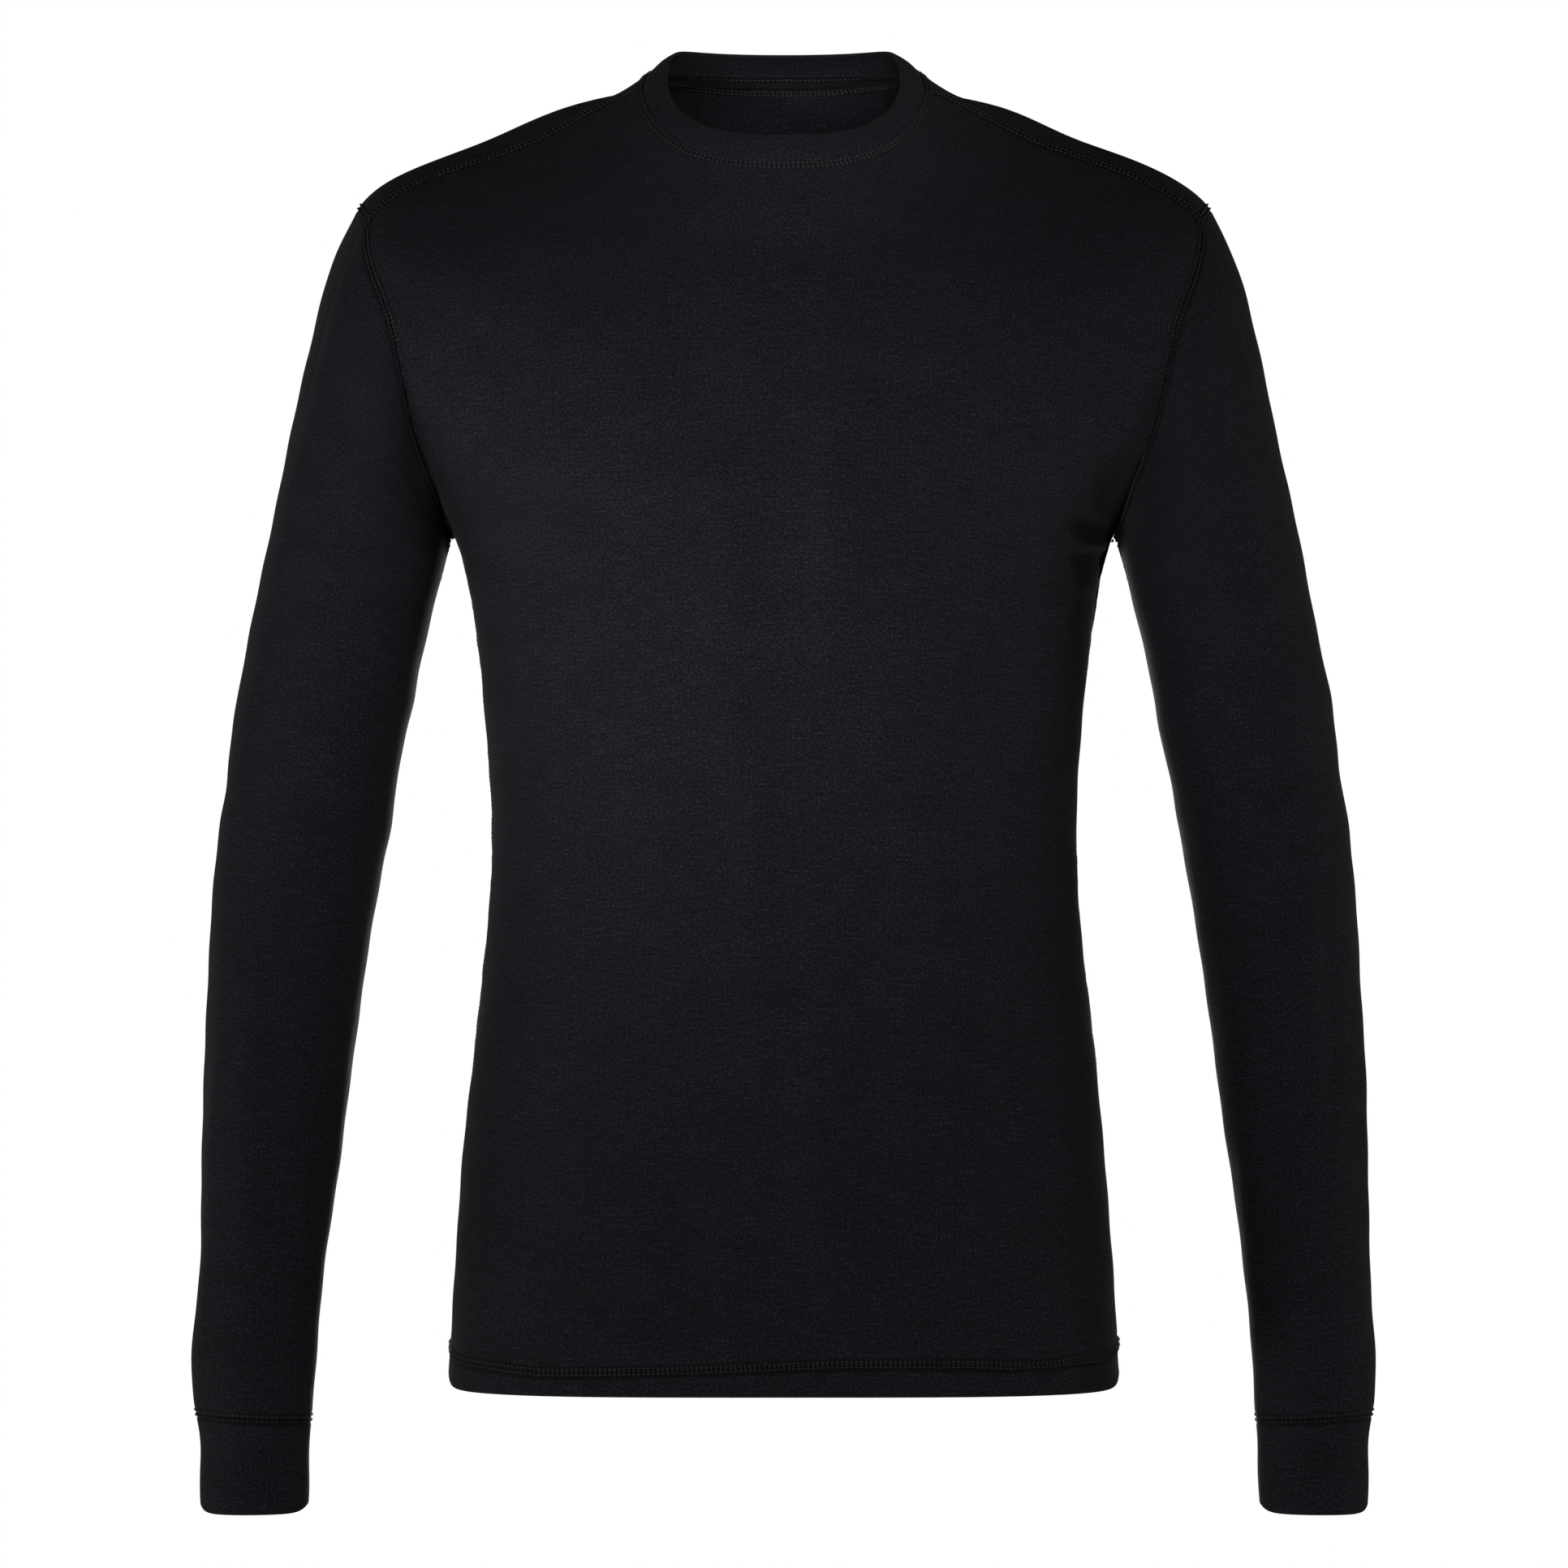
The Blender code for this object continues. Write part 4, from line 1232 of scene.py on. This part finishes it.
def swept(name, sections, material):
    """A closed ring through equal closed cross-sections, with cloth coordinates."""
    count, corners = sections.shape[:2]
    ring = np.concatenate([sections, sections[:1]])
    ring = np.concatenate([ring, ring[:, :1]], axis=1)
    round_it = np.linalg.norm(np.diff(ring[:, 0], axis=0), axis=1).cumsum()
    over_it = np.linalg.norm(np.diff(ring[0], axis=0), axis=1).cumsum()
    u, v = np.concatenate([[0], round_it]), np.concatenate([[0], over_it])
    k, j = np.meshgrid(np.arange(count), np.arange(corners), indexing="ij")
    k, j = k.reshape(-1), j.reshape(-1)
    corner = [(k, j), (k + 1, j), (k + 1, j + 1), (k, j + 1)]
    faces = np.stack([(a % count) * corners + b % corners for a, b in corner], axis=1)
    cloth = np.stack([np.stack([u[a], v[b]], axis=1) for a, b in corner], axis=1)
    return mesh_object(name, sections.reshape(-1, 3), faces, cloth, material)


print("collar's sections:", 2 * len(COLLAR_SHARES) + FOLD_STEPS - 1, "points each")

# %% Find a line on the skin
rest_tree = KDTree(len(REST))
for i, point in enumerate(REST):
    rest_tree.insert(point, i)
rest_tree.balance()


def on_skin(line):
    """Which points of the skin lie nearest to a line's points."""
    return np.array([rest_tree.find(point)[1] for point in line])


seam_at = on_skin(NECK_RING)
seam = skin.points[seam_at]
print("the collar starts from", len(seam), "points of the skin")

# %% Which way the collar stands


def eased(values, along, reach):
    """The values round a closed ring, each averaged with its neighbours within about reach."""
    whole = along[-1] + along[1] - along[0]
    apart = abs(along[:, None] - along[None, :])
    apart = np.minimum(apart, whole - apart)
    steps = (np.roll(along, -1) - np.roll(along, 1)) % whole
    weights = np.exp(-((apart / reach) ** 2)) * steps[None, :]
    return weights @ values / weights.sum(axis=1, keepdims=True)


along = lengths_along(closed(NECK_RING))[:-1] / MM
top = eased(fold_ring(NECK_RING), along, EASE)
easy_seam = eased(seam, along, EASE)
seam_out = unit(eased(REST_NORMALS[seam_at], along, EASE))
up = top - easy_seam
rise = np.linalg.norm(up, axis=1, keepdims=True)
up = up / rise
run = unit(np.roll(easy_seam, -1, axis=0) - np.roll(easy_seam, 1, axis=0))
out = unit(np.cross(run, up))
out = unit(eased(out * np.sign(np.sum(out * seam_out, axis=1, keepdims=True)), along, EASE))
print("collar:", round(float(rise.min()) / MM, 1), "to", round(float(rise.max()) / MM, 1), "mm high")

# %% Make the collar
wave = uneven(along, COLLAR_WAVES)[:, None] * COLLAR_WAVE * MM
outer, inner = [], []
for share in COLLAR_SHARES:
    facing = unit(seam_out * (1 - share) + out * share)
    base = seam + (easy_seam - seam) * min(1, share / UNEVEN_SHARE)
    middle = base + up * (rise - COLLAR_THICK / 2) * share
    swell = COLLAR_SWELL * math.sin(math.pi * share) ** SWELLS
    swell = swell - COLLAR_TUCK * max(0, 1 - share / TUCK_SHARE) + wave * math.sin(math.pi * share)
    outer.append(middle + facing * swell)
    inner.append(middle + facing * (swell - COLLAR_THICK))
fold = []
for turn in np.linspace(0, math.pi, FOLD_STEPS + 1)[1:-1]:
    round_over = out * (math.cos(turn) - 1) + up * math.sin(turn)
    fold.append(middle + round_over * COLLAR_THICK / 2)
sections = np.stack(outer + fold + inner[::-1], axis=1)
collar = swept("cloth_collar", sections, COLLAR_KNIT)
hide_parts("collar")
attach(collar, "root")
print("collar:", len(sections), "sections of", sections.shape[1], "points")

# %% [markdown]
# ## The tape inside the neck
#
# A narrow tape covers the raw edges along the back of the neck. It lies on the inside of the
# back panel, so it is cut from the same skin, a little deeper.

# %% Make the tape
TAPE_WIDTH = 12.0 * MM
TAPE_THICK = 0.8 * MM
TAPE_FACE = KNIT + 0.1 * MM  # how far under the skin the tape starts
tape_rows = STATIONS > NECK - TAPE_WIDTH / MM - 0.1
tape_points = np.concatenate([HALF[name][0][tape_rows].reshape(-1, 3) for name in ("back", "over")])
tape_points = on_skin(np.concatenate([tape_points, mirrored(tape_points)]))
under_seam = (skin.panel == skin.names.index("back")) & np.isin(skin.faces, tape_points).all(axis=1)
tape = wall_of("neck_tape_cloth", under_seam, TAPE_FACE, TAPE_THICK, TAPE)
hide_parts("neck_tape")
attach(tape, "root")
print("tape:", int(under_seam.sum()), "faces of the skin")

# %% [markdown]
# ## Stitches
#
# The seams are flat ones, sewn with two needles at once. That leaves two rows of needle thread,
# one on each side of the join except at the neck and the hem, and a cover thread that crosses
# between them on a slant. Every stitch of a seam is the same few millimetres of thread, so one
# stitch is modelled and repeated along the seam.
#
# Geometry Nodes does that here. The alternative is a loop in the script that copies meshes, which
# works but is slower and hides the numbers that matter: spacing, width, slant and thread size.

# %% The stitch tree
THREAD_SIDES = 5
THREAD_STEPS = 5
STITCH_PARTS = ("Row", "Cross", "Far")  # the upper row, the thread that crosses, the lower row


def stitch_tree():
    """A tree that turns a seam line with an "up" attribute into a row of stitches."""
    tree = bpy.data.node_groups.new("Stitches along a seam", "GeometryNodeTree")
    bends = [f"{part} {end}" for part in STITCH_PARTS for end in ("Start", "Middle", "End")]
    kinds = {"Seam": "Geometry", "Spacing": "Float", **dict.fromkeys(bends, "Vector")}
    kinds.update({"Thread": "Float", "Uneven": "Float", "Seed": "Int", "Material": "Material"})
    for name, kind in kinds.items():
        tree.interface.new_socket(name, in_out="INPUT", socket_type="NodeSocket" + kind)
    tree.interface.new_socket("Stitches", in_out="OUTPUT", socket_type="NodeSocketGeometry")

    def add(kind, inputs=(), **settings):
        return add_node(tree, kind, inputs, **settings)

    def enabled(sockets, name=None):
        """The one of these sockets that is in use, as some nodes have one for each data type."""
        return [s for s in sockets if s.enabled and name in (None, s.name)][0]

    given = add("NodeGroupInput").outputs
    join = add("GeometryNodeJoinGeometry")
    for part in reversed(STITCH_PARTS):
        ends = {k: given[f"{part} {k}"] for k in ("Start", "Middle", "End")}
        arc = add("GeometryNodeCurveQuadraticBezier", {**ends, "Resolution": THREAD_STEPS})
        tree.links.new(arc.outputs[0], join.inputs[0])
    profile = {"Resolution": THREAD_SIDES, "Radius": given["Thread"]}
    circle = add("GeometryNodeCurvePrimitiveCircle", profile)
    body = {"Curve": join.outputs[0], "Profile Curve": circle.outputs[0], "Fill Caps": True}
    stitch = add("GeometryNodeCurveToMesh", body).outputs[0]

    line = add("GeometryNodeMeshToCurve", {"Mesh": given["Seam"]}).outputs[0]
    evenly = {"Curve": line, "Length": given["Spacing"]}
    spaced = add("GeometryNodeResampleCurve", evenly, mode="LENGTH")
    up = add("GeometryNodeInputNamedAttribute", {"Name": "up"}, data_type="FLOAT_VECTOR").outputs[0]
    run = add("GeometryNodeInputTangent").outputs[0]
    turn = add("FunctionNodeAxesToRotation", {0: up, 1: run}, primary_axis="Z", secondary_axis="X")
    size = add("FunctionNodeRandomValue", {"Seed": given["Seed"]}, data_type="FLOAT")
    for name, operation in (("Min", "SUBTRACT"), ("Max", "ADD")):
        bound = add("ShaderNodeMath", {0: 1.0, 1: given["Uneven"]}, operation=operation)
        tree.links.new(bound.outputs[0], enabled(size.inputs, name))
    placed = add("GeometryNodeInstanceOnPoints", {"Points": spaced.outputs[0], "Instance": stitch})
    tree.links.new(turn.outputs[0], placed.inputs["Rotation"])
    tree.links.new(enabled(size.outputs), placed.inputs["Scale"])
    real = add("GeometryNodeRealizeInstances", {0: placed.outputs[0]}).outputs[0]
    smooth = add("GeometryNodeSetShadeSmooth", {0: real}).outputs[0]
    finished = add("GeometryNodeSetMaterial", {"Geometry": smooth, "Material": given["Material"]})
    tree.links.new(finished.outputs[0], add("NodeGroupOutput").inputs[0])
    return tree


TREE = stitch_tree()
print("inputs:", ", ".join(item.name for item in TREE.interface.items_tree if item.in_out == "INPUT"))

# %% The stitches' sizes
SPACING = 2.5  # mm from one stitch to the next
THREAD_RADIUS = 0.34
STITCH_REACH = 0.6  # half the length of thread that shows in a row
SLANT = 1.5
ARCH = 0.35  # how high a stitch stands up in its middle
ROW_DIPS, CROSS_DIPS = 0.15, 0.1  # how deep its ends go in
CROSS_SAGS = 0.35  # how far the thread that crosses lies down in the furrow
UNEVEN = 0.08  # how much a stitch may be larger or smaller than the others
LINE_STEP = 1.0 * MM
LOOK_WITHIN = 7 * MM  # how far a seam line may lie from the skin it is dropped onto


def onto_skin(point, out):
    """Where the line through a point along its normal meets the skin nearest to the point."""
    starts = [(point - way * 0.02 * MM, way) for way in (out, -out)]
    hits = [surface.ray_cast(start, way, LOOK_WITHIN) for start, way in starts]
    hits = [hit for hit in hits if hit[0]] or [surface.find_nearest(point)]
    return min(hits, key=lambda hit: hit[3])[0]


def beside(line, amount):
    """The seam line moved over the skin by an amount in mm, up or down, with its normals."""
    points, out = np.array(line), REST_NORMALS[on_skin(line)]
    if np.any(amount):
        is_ring = np.allclose(line[0], line[-1])
        if is_ring:
            run = np.roll(points[:-1], -1, axis=0) - np.roll(points[:-1], 1, axis=0)
            run = np.concatenate([run, run[:1]])
        else:
            run = np.gradient(points, axis=0)
        aside = unit(np.cross(run, out))
        aside = aside * np.sign(aside[:, 2:])
        points = points + aside * np.reshape(amount, (-1, 1)) * MM
    out = REST_NORMALS[[rest_tree.find(point)[1] for point in points]]
    return np.array([onto_skin(point, way) for point, way in zip(points, out)]), out


def sew(name, line, up, rows, lift, seed):
    """A finished object with a band of stitches along a line, its rows lift above it, all in mm."""
    lengths = lengths_along(line)
    count = max(2, round(lengths[-1] / LINE_STEP))
    at = np.linspace(0, lengths[-1], count)
    line = points_at(line, at)
    up = unit(np.stack([np.interp(at, lengths, up[:, k]) for k in range(3)], axis=1))
    mesh = bpy.data.meshes.new(name)
    mesh.from_pydata([tuple(p) for p in line], [(i, i + 1) for i in range(count - 1)], [])
    attribute = mesh.attributes.new("up", "FLOAT_VECTOR", "POINT")
    attribute.data.foreach_set("vector", up.ravel())
    path = bpy.data.objects.new(name, mesh)
    bpy.context.scene.collection.objects.link(path)
    modifier = path.modifiers.new("stitches", "NODES")
    modifier.node_group = TREE
    half = rows / 2
    values = {"Spacing": SPACING * MM, "Thread": THREAD_RADIUS * MM}
    values.update({"Uneven": UNEVEN, "Seed": seed, "Material": THREAD})
    for part, y in (("Row", half), ("Far", -half)):
        values[part + " Start"] = (-STITCH_REACH, y, lift - ROW_DIPS)
        values[part + " Middle"] = (0, y, lift + ARCH)
        values[part + " End"] = (STITCH_REACH, y, lift - ROW_DIPS)
    values["Cross Start"] = (-SLANT / 2, half, lift / 2 - CROSS_DIPS)
    values["Cross Middle"] = (0, 0, -CROSS_SAGS)
    values["Cross End"] = (SLANT / 2, -half, lift / 2 - CROSS_DIPS)
    for item in TREE.interface.items_tree:
        if item.in_out == "INPUT" and item.name in values:
            value = values[item.name]
            if isinstance(value, tuple):
                value = [v * MM for v in value]
            modifier[item.identifier] = value
    evaluated = path.evaluated_get(bpy.context.evaluated_depsgraph_get())
    plain = bpy.data.meshes.new_from_object(evaluated)
    path.modifiers.clear()
    path.data = plain
    plain.name = name
    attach(path, "root")
    return path


print("a stitch every", SPACING, "mm")

# %% Sew the seams
stitched = []
for values in SEWING:
    row = dict(zip(SEWING_COLUMNS, values))
    sides = ("_left", "_right") if len(SEAMS[row["seam"]]) == 2 else ("",)
    for side, line in zip(sides, SEAMS[row["seam"]]):
        amount = {"hem": hem_rise(line[:, 0]), "neck": -row["middle"]}.get(row["seam"], row["middle"])
        line, up = beside(line, amount)
        line = line - up * row["sink"] * MM
        crest, furrow = (rows_height(place, row["rows"]) for place in (row["rows"] / 2, 0))
        lift = row["strength"] * (crest - furrow)
        piece = sew("stitches_" + row["seam"] + side, line, up, row["rows"], lift, len(stitched))
        stitched.append(piece)
        print(piece.name, len(piece.data.polygons), "faces")

# %% [markdown]
# The tape is held by a row near its upper edge and a double row near its lower one. They are on
# the inside, so they are sewn on the tape's own face and stand inwards.

# %% Sew the tape
TAPE_ROWS = (
    # name, how far below the neck seam, how far apart its rows are, in mm
    ("upper", 1.8, 0.5),
    ("lower", 9.4, 2.2),
)
TAPE_LIFT = 0.1  # mm
front_columns = HALF["front"][0].shape[1]
BACK_NECK = NECK_RING[front_columns - 1 : len(NECK_RING) - front_columns + 2]
for name, below, rows in TAPE_ROWS:
    line, up = beside(BACK_NECK, -below)
    line = line - up * (TAPE_FACE + TAPE_THICK)
    piece = sew("stitches_tape_" + name, line, -up, rows, TAPE_LIFT, len(stitched))
    stitched.append(piece)
    print(piece.name, len(piece.data.polygons), "faces")

# %% [markdown]
# ## The cut of each piece
#
# The paper pattern of the front or back is as wide as the cloth is at its widest level, and as
# long as its longest upright line, which ends on the shoulder near the neck. Both are measured
# where a plane cuts the piece. A sleeve is as wide as its girth under the armpit, and as long as
# it is down the outside. A cuff is as wide as it is round. Knit is worn about 3 percent wider than
# it is cut, which is taken off again.

# %% Work out each piece's flat size
STRETCH = 1.03  # how much wider the worn cloth is than its cut
LEVELS = range(-680, -260, 20)  # mm, the heights of level cuts from the hem to the armpits
UPRIGHTS = range(0, 200, 10)  # mm, the places of upright cuts from the middle to the side
UNDER_ARM = (176, -255)  # mm, x and z of a point where the sleeve leaves the armpit
ARM_RUNS = (0.195, -0.981)  # which way the upper arm runs there, in x and z


def length_of_cut(name, through, facing):
    """How long the line is that a plane cuts across a panel, in metres."""
    faces = skin.faces[skin.panel == skin.names.index(name)]
    a = skin.points[np.concatenate([faces[:, (0, 1, 2)], faces[:, (0, 2, 3)]])]
    b = np.roll(a, -1, axis=1)
    above, next_above = ((points - np.array(through)) @ np.array(facing) for points in (a, b))
    crosses = (above > 0) != (next_above > 0)
    share = above / np.where(crosses, above - next_above, 1)
    ends = (a + (b - a) * share[..., None])[crosses].reshape(-1, 2, 3)
    return float(np.linalg.norm(ends[:, 0] - ends[:, 1], axis=1).sum())


def worn_size(name):
    """A panel's width and length as it is worn, in metres."""
    if name in ("front", "back"):
        levels = [length_of_cut(name, (0, 0, z * MM), (0, 0, 1)) for z in LEVELS]
        uprights = [length_of_cut(name, (x * MM, 0, 0), (1, 0, 0)) for x in UPRIGHTS]
        return max(levels), max(uprights)
    cloth = skin.cloth[skin.panel == skin.names.index(name)].reshape(-1, 2)
    around, down = (float(np.ptp(cloth[:, k])) for k in (0, 1))
    if "sleeve" in name:
        side = 1 if "left" in name else -1
        (x, z), (run_x, run_z) = UNDER_ARM, ARM_RUNS
        around = length_of_cut(name, (side * x * MM, 0, z * MM), (side * run_x, 0, run_z))
    return around, down


for name, piece in made.items():
    wide, long = worn_size(name)
    wide = wide / STRETCH

# %% [markdown]
# ## Light and camera
#
# Cloth this dark needs strong lamps. Large soft ones stand all round, and narrow ones in front
# light the chest and the inside of the neck. The world and the floor look white to the camera but
# give the cloth very little light. The floor lies far down, so that it doesn't hide the garment
# from a viewer who looks up at it.

# %% The world
WORLD_LIGHT, WORLD_SEEN = 0.03, 1.0
world = bpy.data.worlds.new("studio")
bpy.context.scene.world = world
world.use_nodes = True
nodes = world.node_tree.nodes
seen = add_node(world.node_tree, "ShaderNodeLightPath").outputs["Is Camera Ray"]
strengths = {0: seen, 2: WORLD_LIGHT, 3: WORLD_SEEN}
strength = add_node(world.node_tree, "ShaderNodeMix", strengths).outputs[0]
set_input(world.node_tree, nodes["Background"].inputs["Strength"], strength)
set_input(world.node_tree, nodes["Background"].inputs["Color"], (1, 1, 1, 1))
bpy.context.scene.view_settings.view_transform = "Standard"
print("the world gives", WORLD_LIGHT, "of the light that the camera sees in it")

# %% Place a lamp
LAMP_DISTANCE = 2.4


def soft_light(name, place, towards, size, power, kind="AREA"):
    """A lamp of this size in metres and power in watts, turned towards a point."""
    light = bpy.data.lights.new(name, kind)
    light.energy = power
    if kind == "AREA":
        light.size = size
    else:
        light.shadow_soft_size = size
    lamp = bpy.data.objects.new(name, light)
    lamp.location = place
    lamp.rotation_euler = (Vector(towards) - Vector(place)).to_track_quat("-Z", "Y").to_euler()
    lamp.visible_camera = False
    bpy.context.scene.collection.objects.link(lamp)
    return lamp


def seen_from(azimuth, elevation, towards):
    """Where a lamp stands to shine on a point from these angles. 0 is in front, 90 at +X."""
    a, e = math.radians(azimuth), math.radians(elevation)
    way = Vector((math.sin(a) * math.cos(e), -math.cos(a) * math.cos(e), math.sin(e)))
    return Vector(towards) + way * LAMP_DISTANCE


print("lamps stand", LAMP_DISTANCE, "m from what they light")

# %% Soft boxes
MIDDLE = (0, 0, -0.35)
BOX_SIZE = 1.2
SOFT_BOXES = (
    # name, azimuth, elevation, watts
    ("front box", -25, -20, 11),
    ("low left box", -84, -22, 12.5),
    ("right box", 40, -10, 9.4),
    ("right rim box", 98, 0, 7.5),
    ("back box", 180, 0, 42),
    ("back left box", -150, -5, 3),
    ("back right box", 150, -5, 3),
)
for name, azimuth, elevation, watts in SOFT_BOXES:
    soft_light(name, seen_from(azimuth, elevation, MIDDLE), MIDDLE, BOX_SIZE, watts)
print(len(SOFT_BOXES), "soft boxes")

# %% Spots
SPOTS = (
    # name, azimuth, elevation, where it points, how wide there, its own size, watts
    ("key", -25, -8, (-0.03, -0.08, -0.28), 0.38, 0.25, 57),
    ("upper middle", -15, -5, (0.02, -0.1, -0.19), 0.2, 0.2, 30),
    ("middle", -15, -5, (0.012, -0.1, -0.31), 0.2, 0.2, 12),
    ("chest", -25, -6, (-0.09, -0.08, -0.19), 0.24, 0.25, 78),
    ("neck", 0, 4, (0, -0.08, -0.07), 0.12, 0.12, 6),
    ("inside of the neck", 8, 14, (0, 0.045, -0.012), 0.10, 0.07, 125),
)
for name, azimuth, elevation, towards, wide, size, watts in SPOTS:
    place = seen_from(azimuth, elevation, towards)
    lamp = soft_light(name, place, towards, size, watts, "SPOT")
    lamp.data.spot_size = 2 * math.atan(wide / LAMP_DISTANCE)
    lamp.data.spot_blend = 1.0
print(len(SPOTS), "spots")

# %% The floor
FLOOR_Z, FLOOR_RADIUS, FLOOR_CORNERS = -3.2, 5.0, 96
pale = Finish("floor")
pale.give({"Base Color": (0.8, 0.8, 0.8, 1), "Roughness": 0.9})
pale.give({"Emission Color": (0.9, 0.9, 0.9, 1), "Emission Strength": 1.0})
turns = np.linspace(0, 2 * math.pi, FLOOR_CORNERS + 1)[:-1]
rim = [(FLOOR_RADIUS * math.cos(a), FLOOR_RADIUS * math.sin(a), FLOOR_Z) for a in turns]
ground = bpy.data.meshes.new("floor")
ground.from_pydata(rim, [], [tuple(range(len(rim)))])
ground.materials.append(pale.material)
floor = bpy.data.objects.new("floor", ground)
bpy.context.scene.collection.objects.link(floor)
floor.visible_diffuse = False
floor.visible_glossy = False
print("floor at", FLOOR_Z, "m")

# %% The camera
CAMERA_AWAY, CAMERA_Z = 4.2, -0.3758
camera = bpy.data.cameras.new("camera")
camera.lens = 182.0
camera.sensor_width = 36.0
viewer = bpy.data.objects.new("camera", camera)
viewer.location = (0, -CAMERA_AWAY, CAMERA_Z)
viewer.rotation_euler = (math.pi / 2, 0, 0)
bpy.context.scene.collection.objects.link(viewer)
bpy.context.scene.camera = viewer
print("camera", CAMERA_AWAY, "m away, level with the middle of the garment")

# %% Sizes, and the end
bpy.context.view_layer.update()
pieces = [*made.values(), collar, tape, *stitched]
triangles = {o.name: sum(len(p.vertices) - 2 for p in o.data.polygons) for o in pieces}
most = max(triangles, key=triangles.get)
print("triangles:", sum(triangles.values()), "in all; the most in one piece:", most, triangles[most])
